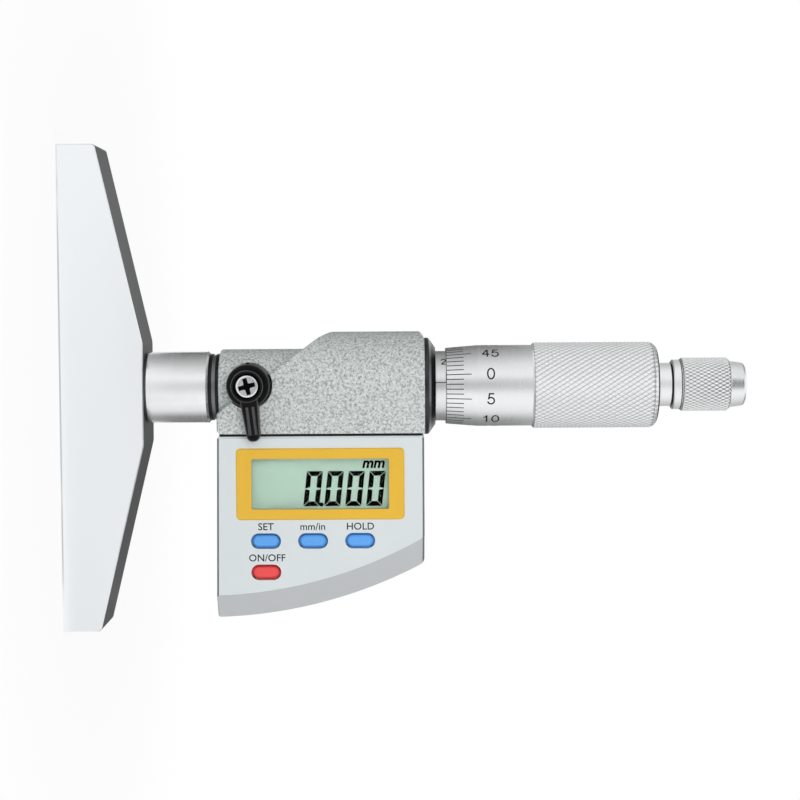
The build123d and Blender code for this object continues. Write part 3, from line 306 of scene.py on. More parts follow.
def screw_steel():
    """Bright screw with painted shade in its cross recess."""
    bright, dark = linear(232, 234, 236), linear(16, 16, 17)
    shader = Shader("lock_screw_steel", bright, 0.2, metallic=1.0)
    wear = shader.noise(0.5, detail=3)
    shader.bump(wear, 0.01, strength=0.4)
    shader.roughness(wear, 0.14, 0.28)
    # Painted shade: the cross recess goes dark below its wall
    recess, recess_wall = SCREW_TOP + 0.3, SCREW_TOP + 0.12
    deep = shader.spread(shader.place("Y"), 0.0, 1.0, recess_wall * MM, recess * MM)
    shader.colours(deep, bright, dark, start=0.2, stop=0.8)
    return shader.material


def turned_metal(name, colour, rough):
    """Turned metal: fine scratches round the spindle and slow changes of tone."""
    shader = Shader(name, colour, rough, metallic=1.0)
    shader.scratched(rough - 0.05, rough + 0.07)
    shader.colours(shader.noise(9.0, detail=2), shaded(colour, 0.93), colour)
    return shader.material


def moulded(name, colour, rough, grain_mm=0.25, depth=0.006, shade=0.93, gloss=0.5):
    """Moulded plastic with a fine grain and slow clouds that go down to the shade's share of its light."""
    shader = Shader(name, colour, rough, Specular_IOR_Level=gloss)
    shader.grained(rough, grain_mm, depth)
    shader.colours(shader.noise(14.0, detail=2), shaded(colour, shade), colour)
    return shader.material


def hammertone():
    """Grey hammered paint: a fine mottle of light crowns and darker dimples."""
    dimple, flat, crown = linear(148, 152, 151), linear(196, 202, 201), linear(224, 229, 228)
    shader = Shader("hammertone_paint", linear(196, 202, 200), 0.42)
    coarse = shader.noise(0.5, detail=4, rough=0.65)
    fine = shader.noise(0.22, detail=2, rough=0.5)
    ripple = shader.math("MULTIPLY", shader.math("SUBTRACT", fine, 0.5), 0.45)
    height = shader.math("ADD", coarse, ripple)
    shader.bump(height, 0.1, strength=0.45)
    shader.tones(height, ((0.36, dimple), (0.48, flat), (0.64, crown)))
    shader.roughness(coarse, 0.36, 0.5)
    return shader.material


def knurled_chrome(name, groove, crest, groove_shade, bright, shine):
    """Satin chrome, matter on the knurl and with painted shade in its grooves: both follow the radius.

    The full tone is reached at the bright share of the way up to the crest. The shine is how metallic
    the knurl is.
    """
    below = 0.1
    shader = Shader(name, CHROME, 0.3, metallic=1.0)
    shader.scratched(0.26, 0.38)
    risen = shader.spread(shader.radius(), 0.0, 1.0, (groove - below) * MM, crest * MM)
    at_groove = below / (crest - groove + below)
    # Painted shade: the tone darkens into the knurl's grooves
    shader.tones(risen, ((0.0, CHROME), (0.6 * at_groove, CHROME), (at_groove, groove_shade), (bright, CHROME)))
    matt = shader.spread(risen, 1.0, shine, 0.5 * at_groove, at_groove)
    shader.link(matt, shader.bsdf.inputs["Metallic"])
    return shader.material


def neck_chrome():
    """Satin chrome of the ratchet's neck, with painted shade in its groove."""
    shader = Shader("neck_chrome", CHROME, 0.3, metallic=1.0)
    shader.scratched(0.26, 0.38)
    risen = shader.spread(shader.radius(), 0.0, 1.0, (NECK_R - NECK_GROOVE) * MM, NECK_R * MM)
    # Painted shade in the groove
    shader.tones(risen, ((0.3, linear(40, 40, 42)), (0.8, CHROME)))
    return shader.material


def edged_plastic():
    """The housing's pale plastic, with painted shade on the broken edges at its two ends and on its chin."""
    cloud, end = linear(221, 228, 230), linear(219, 226, 228)
    # Painted shade: the chin tone and the dark edge tone
    painted_chin_shade, edge = linear(204, 207, 209), linear(112, 115, 118)
    shader = Shader("housing_edged", HOUSING_TONE, 0.4)
    shader.grained(0.4, 0.22, 0.004)
    endways = shader.math("ABSOLUTE", shader.normal("Z"))
    clouds = shader.math("MULTIPLY", shader.noise(14.0, detail=2), 0.1)
    chin = shader.spread(shader.normal("X"), 0.0, 0.42, 0.2, 0.35)
    shader.tones(shader.math("ADD", shader.math("MAXIMUM", endways, chin), clouds), (
        (0.03, cloud), (0.07, HOUSING_TONE), (0.36, HOUSING_TONE), (0.42, painted_chin_shade), (0.52, painted_chin_shade),
        (0.62, edge), (0.88, edge), (0.97, end),
    ))
    return shader.material


def lever_black():
    """Black plastic of the lock lever, painted grey highlight along its rounded edges and beside its arm's
    groove.
    """
    flat, painted_sheen = linear(13, 13, 14), linear(84, 84, 87)
    shader = Shader("lever_black", flat, 0.3, Specular_IOR_Level=0.16)
    shader.grained(0.3, 0.3, 0.006)
    facing = shader.math("ABSOLUTE", shader.normal("Y"))
    clouds = shader.math("MULTIPLY", shader.noise(1.2, detail=2), 0.08)
    turned = shader.node("ShaderNodeMapping", vector_type="TEXTURE")
    turned.inputs["Location"].default_value = Vector((LEVER_X, 0.0, LEVER_Z)) * MM
    turned.inputs["Rotation"].default_value = (0.0, -math.radians(LEVER_ANGLE), 0.0)
    shader.link(shader.where, turned.inputs["Vector"])
    along = shader.axis(turned.outputs["Vector"], "X")
    across = shader.math("ABSOLUTE", shader.axis(turned.outputs["Vector"], "Z"))
    off_edge = shader.math("ABSOLUTE", shader.math("SUBTRACT", across, LEVER_GROOVE_SIDE * MM))
    beside = shader.math("LESS_THAN", off_edge, LEVER_GROOVE_EDGE * MM)
    on_arm = shader.math("GREATER_THAN", along, LEVER_ARM_START * MM)
    before_tip = shader.math("LESS_THAN", along, LEVER_ARM_STOP * MM)
    groove = shader.math("MULTIPLY", shader.math("MULTIPLY", beside, on_arm), before_tip)
    flatness = shader.math("ADD", facing, clouds)
    shine = shader.math("SUBTRACT", flatness, shader.math("MULTIPLY", groove, 0.2))
    # Painted highlight: grey where the surface turns from the front, and beside the arm's groove
    shader.tones(shine, ((0.5, flat), (0.64, painted_sheen), (0.86, painted_sheen), (0.97, flat)))
    return shader.material


def dark_chrome(name, rim, band, dark, edge, painted_highlight):
    """Blackened metal ring, with a painted highlight band of the given width just inside its rim radius."""
    shader = Shader(name, dark, 0.28, metallic=1.0)
    shader.scratched(0.24, 0.34)
    inward = shader.spread(shader.radius(), 1.0, 0.0, (rim - band) * MM, rim * MM)
    # Painted highlight: the band, and more faintly the rim, are lighter than the blackened metal
    shader.tones(inward, ((0.0, edge), (0.12, edge), (0.3, painted_highlight), (0.6, painted_highlight), (1.0, dark)))
    return shader.material


def clear_window():
    """Clear plastic of the display window, slightly wavy."""
    shader = Shader("clear_window", (1, 1, 1, 1), 0.02, IOR=1.08, Transmission_Weight=1.0)
    shader.bump(shader.noise(6.0, detail=1), 0.002, strength=0.2)
    return shader.material


MATERIALS = {
    "base_steel": base_bar(),
    "bright_steel": turned_metal("bright_steel", STEEL, 0.2),
    "tool_steel": turned_metal("tool_steel", linear(205, 208, 210), 0.3),
    "satin_chrome": turned_metal("satin_chrome", CHROME, 0.3),
    "brass": turned_metal("brass", linear(205, 170, 95), 0.3),
    "cell_steel": turned_metal("cell_steel", linear(215, 215, 215), 0.25),
    # Knurls: the third colour of each is the painted shade in its grooves
    "thimble_chrome": knurled_chrome(
        "thimble_chrome", GRIP_R - GRIP_DEPTH, GRIP_R, linear(122, 123, 125), bright=0.62, shine=0.3),
    "knob_chrome": knurled_chrome(
        "knob_chrome", KNOB_R - KNOB_DEPTH, KNOB_R, linear(6, 6, 7), bright=0.8, shine=0.4),
    "neck_chrome": neck_chrome(),
    "lock_screw_steel": screw_steel(),
    # Collar and seal: their last two colours are painted highlights
    "collar_black": dark_chrome(
        "collar_black", COLLAR_R, 0.9, linear(30, 30, 32), linear(70, 70, 72), linear(140, 141, 143)),
    "seal_black": dark_chrome(
        "seal_black", SEAL_R, 0.5, linear(24, 24, 26), linear(44, 44, 46), linear(124, 125, 127)),
    "frame_paint": hammertone(),
    "housing_edged": edged_plastic(),
    "lever_black": lever_black(),
    "clear_window": clear_window(),
    "black_rubber": moulded("black_rubber", linear(22, 22, 24), 0.5, 0.3, 0.01, gloss=0.3),
    "black_plastic": moulded("black_plastic", linear(20, 20, 22), 0.28, 0.3, 0.006, gloss=0.35),
    "housing_plastic": moulded("housing_plastic", HOUSING_TONE, 0.4, 0.22, 0.004, 0.97),
    "bezel_yellow": moulded("bezel_yellow", linear(240, 190, 50), 0.4, 0.25, 0.004, 0.95),
    "lcd_glass": moulded("lcd_glass", linear(163, 190, 174), 0.5, 2.0, 0.001, 0.96, gloss=0.1),
    "board_green": moulded("board_green", linear(30, 95, 60), 0.45, 0.5, 0.004),
    "button_blue": moulded("button_blue", linear(95, 172, 250), 0.35, 0.25, 0.003, 0.94),
    "button_red": moulded("button_red", linear(246, 76, 76), 0.35, 0.25, 0.003, 0.94),
    # Scale ink is also the material of the painted shade lines on the thimble and the knob
    "scale_ink": moulded("scale_ink", linear(34, 34, 38), 0.6, 0.2, 0.002, gloss=0.1),
    "lcd_ink": moulded("lcd_ink", linear(3, 4, 3), 0.6, 0.4, 0.001, gloss=0.0),
}

# Nodes whose look differs from that of their material slot
NODE_LOOKS = {
    "lock_screw": "lock_screw_steel",
    "lock_lever": "lever_black",
    "rear_collar": "collar_black",
    "stem_seal": "seal_black",
    "housing_front": "housing_edged",
    "ratchet_shaft": "neck_chrome",
}

for subpart in frame["record"]["subparts"]:
    look = NODE_LOOKS.get(subpart["node"], subpart["material_slot"])
    surface = frame["nodes"][subpart["node"]].data
    surface.materials.clear()
    surface.materials.append(MATERIALS[look])


def piece(name, bm, material, body, replaced=None):
    """Makes a mesh a piece of the part: on a body, standing for a node where one is named."""
    mesh = bpy.data.meshes.new(name)
    bm.to_mesh(mesh)
    bm.free()
    mesh.materials.append(MATERIALS[material])
    shown = bpy.data.objects.new(name, mesh)
    bpy.context.scene.collection.objects.link(shown)
    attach(shown, body)
    if replaced:
        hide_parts(replaced)


def spot(angle, radius, height):
    """Point at an angle from the front, a radius and a height, in metres."""
    turn = math.radians(angle)
    return Vector((radius * math.sin(turn), -radius * math.cos(turn), height)) * MM


def lathe(profile, count, knurl=None):
    """A closed turned mesh from (radius, height, knurl depth) points that run round its section."""
    bm = bmesh.new()
    rings = []
    for radius, height, deep in profile:
        ring = []
        for step in range(count):
            angle = 360 * step / count
            grown = radius + (knurl(step / count, height) * deep if deep else 0)
            ring.append(bm.verts.new(spot(angle, grown, height)))
        rings.append(ring)
    for first, second in zip(rings, rings[1:] + rings[:1]):
        for step in range(count):
            after = (step + 1) % count
            bm.faces.new((first[step], first[after], second[after], second[step]))
    bmesh.ops.recalc_face_normals(bm, faces=bm.faces)
    return bm


def diamonds(around, pitch, crossing, crown, pits=0.0):
    """Depth of a diamond knurl, -1 to 0: two crossing families of grooves.

    The second family has the crossing share of the depth; a larger crown leaves more of the flat tops.
    The pits share goes to the crossings, so that they are deeper than the grooves between them.
    """
    def ridge(value):
        return 1 - abs(2 * (value - math.floor(value)) - 1)

    def height(turn, z):
        first = ridge(turn * around + z / pitch)
        second = crossing * ridge(turn * around - z / pitch) + 1 - crossing
        grooves = min(1.0, crown * min(first, second))
        crossings = min(1.0, crown * (first + second) / 2)
        return (1 - pits) * grooves + pits * crossings - 1
    return height


def rows(low, high, step):
    """Even places from low to high, about a step apart."""
    count = max(1, round((high - low) / step))
    return [low + (high - low) * index / count for index in range(count + 1)]


def grip_end(tilt):
    """Radius and height on the rounded end of the thimble's grip, at a tilt in degrees from its side."""
    turn = math.radians(tilt)
    radius = GRIP_R - GRIP_ROUND * (1 - math.cos(turn))
    return radius, THIMBLE_TOP - GRIP_ROUND * (1 - math.sin(turn))


def thimble():
    """Thimble with its bevelled edge, plain scale band and knurled grip."""
    swell = GRIP_R - THIMBLE_R
    crease = 0.02
    profile = [
        (THIMBLE_BORE, THIMBLE_Z, 0), (THIMBLE_LIP_R, THIMBLE_Z, 0), (THIMBLE_R, BEVEL_TOP, 0),
        (THIMBLE_R, BEVEL_TOP + crease, 0), (THIMBLE_R, GRIP_Z - crease, 0), (THIMBLE_R, GRIP_Z, 0),
        (GRIP_R - GRIP_DEPTH, GRIP_Z + swell - GRIP_DEPTH, 0),
    ]
    for z in rows(GRIP_Z + swell, THIMBLE_TOP - GRIP_ROUND, GRIP_PITCH / KNURL_STEPS):
        profile.append((GRIP_R, z, GRIP_DEPTH))
    round_steps = 6
    for step in range(1, round_steps + 1):
        radius, z = grip_end(90 / round_steps * step)
        profile.append((radius, z, GRIP_DEPTH * (1 - step / round_steps)))
    profile += [
        (TAIL_BORE, THIMBLE_TOP, 0), (TAIL_BORE, THIMBLE_FLOOR, 0), (THIMBLE_BORE, THIMBLE_FLOOR, 0),
    ]
    knurl = diamonds(GRIP_GROOVES, GRIP_PITCH, crossing=0.82, crown=1.25)
    bm = lathe(profile, GRIP_GROOVES * KNURL_STEPS, knurl)
    piece("thimble_knurled", bm, "thimble_chrome", "thimble", "thimble")


def ratchet_knob():
    """Ratchet knob with its ring, knurled grip and tapered end."""
    profile = [
        (KNOB_MOUTH, KNOB_Z, 0), (KNOB_RING_R - KNOB_RING_EDGE, KNOB_Z, 0),
        (KNOB_RING_R, KNOB_Z + KNOB_RING_EDGE, 0), (KNOB_RING_R, KNOB_GRIP_Z, 0),
        (KNOB_R - KNOB_GRIP_EDGE, KNOB_GRIP_Z, 0),
    ]
    knurl_low, knurl_high = KNOB_GRIP_Z + KNOB_GRIP_EDGE, KNOB_GRIP_TOP - KNOB_GRIP_EDGE
    for z in rows(knurl_low, knurl_high, KNOB_PITCH / KNURL_STEPS):
        profile.append((KNOB_R, z, KNOB_DEPTH))
    profile += [(KNOB_R - KNOB_GRIP_EDGE, KNOB_GRIP_TOP, 0), (KNOB_CONE_R, KNOB_GRIP_TOP, 0)]
    slant = math.atan2(KNOB_CONE_R - KNOB_END_R, KNOB_TOP - KNOB_GRIP_TOP)
    centre = KNOB_END_R - KNOB_END_ROUND * math.tan(math.pi / 4 - slant / 2)
    round_steps = 5
    for step in range(round_steps + 1):
        turn = slant + (math.pi / 2 - slant) * step / round_steps
        radius = centre + KNOB_END_ROUND * math.cos(turn)
        profile.append((radius, KNOB_TOP - KNOB_END_ROUND * (1 - math.sin(turn)), 0))
    profile += [
        (SCREW_POCKET, KNOB_TOP, 0), (SCREW_POCKET, KNOB_WEB_TOP, 0), (POST_BORE, KNOB_WEB_TOP, 0),
        (POST_BORE, KNOB_WEB_Z, 0), (KNOB_MOUTH, KNOB_WEB_Z, 0),
    ]
    knurl = diamonds(KNOB_GROOVES, KNOB_PITCH, crossing=0.96, crown=1.75, pits=0.3)
    bm = lathe(profile, KNOB_GROOVES * KNURL_STEPS, knurl)
    piece("ratchet_knob_knurled", bm, "knob_chrome", "ratchet", "ratchet_knob")


def add_block(bm, corners):
    """A closed six-sided block from its eight corners, bottom four then top four."""
    verts = [bm.verts.new(corner) for corner in corners]
    for face in ((3, 2, 1, 0), (4, 5, 6, 7), (0, 1, 5, 4), (1, 2, 6, 5), (2, 3, 7, 6), (3, 0, 4, 7)):
        bm.faces.new([verts[index] for index in face])


def merge(target, source):
    """Adds one bmesh to another."""
    mesh = bpy.data.meshes.new("merge")
    source.to_mesh(mesh)
    source.free()
    target.from_mesh(mesh)
    bpy.data.meshes.remove(mesh)


def mark(bm, angle, width, low, high):
    """A scale line along the spindle on a cylinder or cone, from one (height, radius) to another."""
    corners = []
    for lift in (-INK_SUNK, INK_PROUD):
        for side, (z, radius) in ((-1, low), (1, low), (1, high), (-1, high)):
            half = math.degrees(width / 2 / radius)
            corners.append(spot(angle + side * half, radius + lift, z))
    add_block(bm, corners)


def arc(centre, radii, start, stop, count=12):
    """Points along part of an ellipse, angles in degrees."""
    points = []
    for step in range(count + 1):
        turn = math.radians(start + (stop - start) * step / count)
        points.append((centre[0] + radii[0] * math.cos(turn), centre[1] + radii[1] * math.sin(turn)))
    return points


# Strokes of each digit in a box DIGIT_WIDTH wide and 1 high, without the stroke's own width
DIGIT_WIDTH = 0.62
DIGIT_STEP = 0.88
DIGITS = {
    "0": [arc((0.31, 0.5), (0.31, 0.5), 0, 360, 28)],
    "1": [[(0.12, 0.76), (0.27, 0.83), (0.38, 1.0), (0.38, 0.0)]],
    "2": [arc((0.31, 0.72), (0.29, 0.28), 175, -35) + [(0.04, 0.0), (0.6, 0.0)]],
    "3": [arc((0.3, 0.76), (0.25, 0.24), 165, -90) + arc((0.3, 0.26), (0.3, 0.26), 90, -165)],
    "4": [[(0.46, 0.0), (0.46, 1.0), (0.02, 0.3), (0.62, 0.3)]],
    "5": [[(0.55, 1.0), (0.15, 1.0), (0.08, 0.5)] + arc((0.3, 0.32), (0.31, 0.32), 135, -160)],
}
STROKE_STEP = 0.3
STROKE_OVERLAP = 0.6


def round_digits(target, number, height, stroke, angle, z, radius):
    """A number drawn with strokes on a cylinder, its line along the spindle and its top towards -X.

    Long strokes are split into short steps that follow the cylinder.
    """
    letters = str(number)
    inner = height - stroke
    wide = ((len(letters) - 1) * DIGIT_STEP + DIGIT_WIDTH) * inner

    def place(point, lift):
        along = point[0] - wide / 2
        up = point[1] - inner / 2
        return spot(angle - math.degrees(up / radius), radius + lift, z + along)

    for index, letter in enumerate(letters):
        for path in DIGITS[letter]:
            points = [Vector(((u + index * DIGIT_STEP) * inner, v * inner)) for u, v in path]
            for first, last in zip(points, points[1:]):
                ahead = (last - first).normalized() * stroke / 2
                side = Vector((-ahead.y, ahead.x))
                reaches = rows(0.0, (last - first).length, STROKE_STEP)
                along = [first + 2 / stroke * ahead * reach for reach in reaches]
                along[0] = along[0] - STROKE_OVERLAP * ahead
                along[-1] = along[-1] + STROKE_OVERLAP * ahead
                for start, stop in zip(along, along[1:]):
                    flat = (start - side, stop - side, stop + side, start + side)
                    corners = [place(corner, lift) for lift in (-INK_SUNK, INK_PROUD) for corner in flat]
                    add_block(target, corners)


def text_mesh(body, shear, bold, spacing):
    """Flat text as a triangle mesh of size 1: x along the line, y up, and z through it."""
    curve = bpy.data.curves.new("text_" + body.replace("/", "_"), "FONT")
    curve.body = body
    curve.size = 1.0
    curve.shear = shear
    curve.offset = bold
    curve.space_character = spacing
    curve.extrude = 0.5
    curve.resolution_u = 4
    holder = bpy.data.objects.new("text_holder", curve)
    bpy.context.scene.collection.objects.link(holder)
    bpy.context.view_layer.update()
    mesh = bpy.data.meshes.new_from_object(holder.evaluated_get(bpy.context.evaluated_depsgraph_get()))
    bpy.data.objects.remove(holder)
    bm = bmesh.new()
    bm.from_mesh(mesh)
    bpy.data.meshes.remove(mesh)
    bmesh.ops.remove_doubles(bm, verts=bm.verts, dist=1e-5)
    bmesh.ops.triangulate(bm, faces=bm.faces)
    return bm


def middle(bm):
    """Centre of a mesh's box in x and y."""
    xs = [vert.co.x for vert in bm.verts]
    ys = [vert.co.y for vert in bm.verts]
    return (min(xs) + max(xs)) / 2, (min(ys) + max(ys)) / 2


# Height of a capital in text of size 1
CAP_HEIGHT = 0.69


def flat_text(target, body, height, z, x, y, shear=0.0, bold=0.0, spacing=1.0):
    """Text on a face that looks to -Y, its line along +Z and its top towards -X."""
    bm = text_mesh(body, shear, bold, spacing)
    scale = height / CAP_HEIGHT
    cx, cy = middle(bm)
    for vert in bm.verts:
        along, up = (vert.co.x - cx) * scale, (vert.co.y - cy) * scale
        lift = -INK_PROUD if vert.co.z > 0 else INK_SUNK
        vert.co = Vector((x - up, y + lift, z + along)) * MM
    bmesh.ops.recalc_face_normals(bm, faces=bm.faces)
    merge(target, bm)


def dark_ring(target, points):
    """A thin painted shade line round the spindle on a turned surface, from (radius, height, tilt) points
    along it.
    """
    outer, inner = [], []
    for radius, height, tilt in points:
        out, up = math.cos(math.radians(tilt)), math.sin(math.radians(tilt))
        outer.append((radius + INK_PROUD * out, height + INK_PROUD * up, 0))
        inner.append((radius - INK_SUNK * out, height - INK_SUNK * up, 0))
    merge(target, lathe(outer + inner[::-1], 180))


def thimble_scale():
    """Fifty divisions round the bevelled edge, a number at every fifth and painted shade lines at both ends.
    """
    short_line, long_line, line_start, line_width = 3.6, 5.2, 0.1, 0.18
    numbers_z, numbers_turn, digit_height, digit_stroke = THIMBLE_Z + 9.15, -0.4, 2.5, 0.3
    bm = bmesh.new()
    # Painted shadow line at the thimble's front edge, where it meets the sleeve
    dark_ring(bm, [(THIMBLE_LIP_R, THIMBLE_Z + 0.01, 0), (THIMBLE_LIP_R + 0.01, THIMBLE_Z + 0.11, 0)])
    # Painted shade line on the grip's rounded end
    dark_ring(bm, [(*grip_end(tilt), tilt) for tilt in (56, 63, 70, 77)])
    slope = (THIMBLE_R - THIMBLE_LIP_R) / (BEVEL_TOP - THIMBLE_Z)
    for index in range(DIVISIONS):
        ends = []
        for reach in (line_start, long_line if index % 5 == 0 else short_line):
            ends.append((THIMBLE_Z + reach, THIMBLE_LIP_R + reach * slope))
        mark(bm, ZERO_ANGLE + 360 * index / DIVISIONS, line_width, *ends)
    for number in range(0, DIVISIONS, 5):
        angle = ZERO_ANGLE + 360 * number / DIVISIONS + numbers_turn
        round_digits(bm, number, digit_height, digit_stroke, angle, numbers_z, THIMBLE_R)
    piece("thimble_scale", bm, "scale_ink", "thimble")


def knob_lines():
    """Painted shade line between the knob's ring and its knurled grip."""
    bm = bmesh.new()
    dark_ring(bm, [(KNOB_RING_R, KNOB_GRIP_Z - 0.2, 0), (KNOB_RING_R, KNOB_GRIP_Z - 0.01, 0)])
    piece("knob_lines", bm, "scale_ink", "ratchet")


def sleeve_scale():
    """Index line, millimetre and half millimetre lines and the numbers, counted down away from the collar."""
    travel = 25
    half_width, bends = 0.07, 6
    fifth_length, whole_length, half_length = 2.3, 1.6, 1.3
    numbers_z, numbers_turn, digit_height, digit_stroke = THIMBLE_Z + 25.1, -38, 1.65, 0.24
    bm = bmesh.new()
    mark(bm, INDEX_ANGLE, 0.16, (COLLAR_TOP + 0.02, SLEEVE_R), (THIMBLE_Z + 26.0, SLEEVE_R))
    for step in range(2 * travel + 1):
        z = THIMBLE_Z + step / 2
        whole = step % 2 == 0
        sign = -1 if whole else 1
        length = (fifth_length if step % 10 == 0 else whole_length) if whole else half_length
        sweep = math.degrees(length / SLEEVE_R)
        low, high = z - half_width, z + half_width
        for bend in range(bends):
            start, stop = (sweep * (bend + side) / bends for side in (0, 1))
            first, last = sorted((INDEX_ANGLE + sign * start, INDEX_ANGLE + sign * stop))
            corners = []
            for lift in (-INK_SUNK, INK_PROUD):
                for angle, height in ((first, low), (last, low), (last, high), (first, high)):
                    corners.append(spot(angle, SLEEVE_R + lift, height))
            add_block(bm, corners)
    for number in range(0, travel + 1, 5):
        angle = INDEX_ANGLE + numbers_turn
        round_digits(bm, number, digit_height, digit_stroke, angle, numbers_z - number, SLEEVE_R)
    piece("sleeve_scale", bm, "scale_ink", "frame")


# Display digits: ends of each segment in a box 1 by 1, then sizes and places in millimetres
SEGMENTS = {
    "a": ((0, 1), (1, 1)), "b": ((1, 1), (1, 0.5)), "c": ((1, 0.5), (1, 0)),
    "d": ((0, 0), (1, 0)), "e": ((0, 0.5), (0, 0)), "f": ((0, 1), (0, 0.5)),
}
LCD_WIDTH = 2.28
LCD_HEIGHT = 6.18
LCD_STROKE = 1.0
LCD_GAP = 0.06
LCD_NOTCH = 0.3
LCD_LEAN = math.tan(math.radians(6.5))
LCD_FRONT = LCD_Y - 0.03
LCD_BACK = LCD_Y - 0.005
LCD_X = 20.4
LCD_PLACES_Z = (51.95, 56.22, 60.49, 64.76)
POINT_R = 0.46
POINT_X = 23.62
POINT_Z = 53.62
POINT_SIDES = 16


def segment(name):
    """Four corners of a display segment, along and up from its digit's middle."""
    (u0, v0), (u1, v1) = SEGMENTS[name]
    u0, u1 = (u0 - 0.5) * LCD_WIDTH, (u1 - 0.5) * LCD_WIDTH
    v0, v1 = (v0 - 0.5) * LCD_HEIGHT, (v1 - 0.5) * LCD_HEIGHT
    half = LCD_STROKE / 2
    if v0 == v1:
        inward = -1 if v0 > 0 else 1
        outer, inner = v0 - inward * half, v0 + inward * half
        return ((u0 - half + LCD_GAP, outer), (u1 + half - LCD_GAP, outer),
                (u1 - half - LCD_GAP, inner), (u0 + half + LCD_GAP, inner))
    inward = -1 if u0 > 0 else 1
    outer, inner = u0 - inward * half, u0 + inward * half
    top, low = max(v0, v1), min(v0, v1)
    if low < 0:
        return ((outer, top - LCD_GAP), (inner, top - LCD_NOTCH),
                (inner, low + half + LCD_GAP), (outer, low - half + 2 * LCD_GAP))
    return ((outer, top + half - 2 * LCD_GAP), (inner, top - half - LCD_GAP),
            (inner, low + LCD_NOTCH), (outer, low + LCD_GAP))


def lcd_digits():
    """Reading 0.000 in slanted seven-segment digits, with its unit."""
    bm = bmesh.new()
    for z in LCD_PLACES_Z:
        for name in "abcdef":
            corners = []
            for depth in (LCD_BACK, LCD_FRONT):
                for u, v in segment(name):
                    corners.append(Vector((LCD_X - v, depth, z + u + v * LCD_LEAN)) * MM)
            add_block(bm, corners)
    ends = []
    for depth in (LCD_BACK, LCD_FRONT):
        rim = []
        for step in range(POINT_SIDES):
            turn = 2 * math.pi * step / POINT_SIDES
            place = (POINT_X + POINT_R * math.sin(turn), depth, POINT_Z + POINT_R * math.cos(turn))
            rim.append(bm.verts.new(Vector(place) * MM))
        ends.append(rim)
    bm.faces.new(ends[0])
    bm.faces.new(ends[1][::-1])
    for step in range(POINT_SIDES):
        after = (step + 1) % POINT_SIDES
        bm.faces.new((ends[0][step], ends[0][after], ends[1][after], ends[1][step]))
    bmesh.ops.recalc_face_normals(bm, faces=bm.faces)
    flat_text(bm, "mm", 2.05, 64.3, 15.45, LCD_Y - 0.02, shear=0.2, bold=0.034)
    piece("lcd_reading", bm, "lcd_ink", "frame")


# Words over the buttons, with their middles along Z and X
BUTTON_WORDS = (
    ("SET", 42.4, 27.9), ("mm/in", 51.9, 27.9), ("HOLD", 61.6, 27.9), ("ON/OFF", 42.6, 34.27),
)


def button_words():
    """Plain words over the buttons."""
    bm = bmesh.new()
    for words, z, x in BUTTON_WORDS:
        flat_text(bm, words, 1.4, z, x, FACE_Y, bold=0.01, spacing=1.02)
    piece("button_words", bm, "scale_ink", "frame")


thimble()
ratchet_knob()
thimble_scale()
knob_lines()
sleeve_scale()
lcd_digits()
button_words()


def staged(name, corners, material, **ray_flags):
    """A flat four-cornered piece of the stage."""
    mesh = bpy.data.meshes.new(name)
    mesh.from_pydata(corners, [], [(0, 1, 2, 3)])
    mesh.materials.append(material)
    shown = bpy.data.objects.new(name, mesh)
    bpy.context.scene.collection.objects.link(shown)
    for key, value in ray_flags.items():
        setattr(shown, key, value)


def empty_tree(holder):
    """Node tree of a material or world, with nothing in it."""
    holder.use_nodes = True
    holder.node_tree.nodes.clear()
    return holder.node_tree


def seen_rays(tree):
    """1 for rays from the camera, off shiny surfaces and through glass, and 0 for scattered light."""
    path = tree.nodes.new("ShaderNodeLightPath")
    seen = path.outputs["Is Camera Ray"]
    for name in ("Is Glossy Ray", "Is Transmission Ray"):
        either = tree.nodes.new("ShaderNodeMath")
        either.operation = "MAXIMUM"
        tree.links.new(seen, either.inputs[0])
        tree.links.new(path.outputs[name], either.inputs[1])
        seen = either.outputs[0]
    return seen


def floor_material():
    """White floor: matt for scattered light, and mostly plain white where it is seen.

    The plain share grows with the distance from the part, so that its shadow fades into white.
    """
    near, far, near_share = 0.03, 0.2, 0.92
    material = bpy.data.materials.new("floor_white")
    tree = empty_tree(material)
    place = tree.nodes.new("ShaderNodeTexCoord")
    behind = tree.nodes.new("ShaderNodeVectorMath")
    behind.operation = "SUBTRACT"
    behind.inputs[1].default_value = (0.0, 0.05, 0.0)
    away = tree.nodes.new("ShaderNodeVectorMath")
    away.operation = "LENGTH"
    plain = tree.nodes.new("ShaderNodeMapRange")
    plain.interpolation_type = "SMOOTHSTEP"
    for key, value in (("From Min", near), ("From Max", far), ("To Min", near_share), ("To Max", 1.0)):
        plain.inputs[key].default_value = value
    share = tree.nodes.new("ShaderNodeMath")
    share.operation = "MULTIPLY"
    matt = tree.nodes.new("ShaderNodeBsdfDiffuse")
    matt.inputs["Color"].default_value = (0.9, 0.9, 0.9, 1)
    glow = tree.nodes.new("ShaderNodeEmission")
    mix = tree.nodes.new("ShaderNodeMixShader")
    out = tree.nodes.new("ShaderNodeOutputMaterial")
    for source, target in (
            (place.outputs["Object"], behind.inputs[0]),
            (behind.outputs["Vector"], away.inputs[0]),
            (away.outputs["Value"], plain.inputs["Value"]),
            (seen_rays(tree), share.inputs[0]),
            (plain.outputs["Result"], share.inputs[1]),
            (share.outputs[0], mix.inputs["Fac"]),
            (matt.outputs[0], mix.inputs[1]),
            (glow.outputs[0], mix.inputs[2]),
            (mix.outputs[0], out.inputs["Surface"])):
        tree.links.new(source, target)
    return material


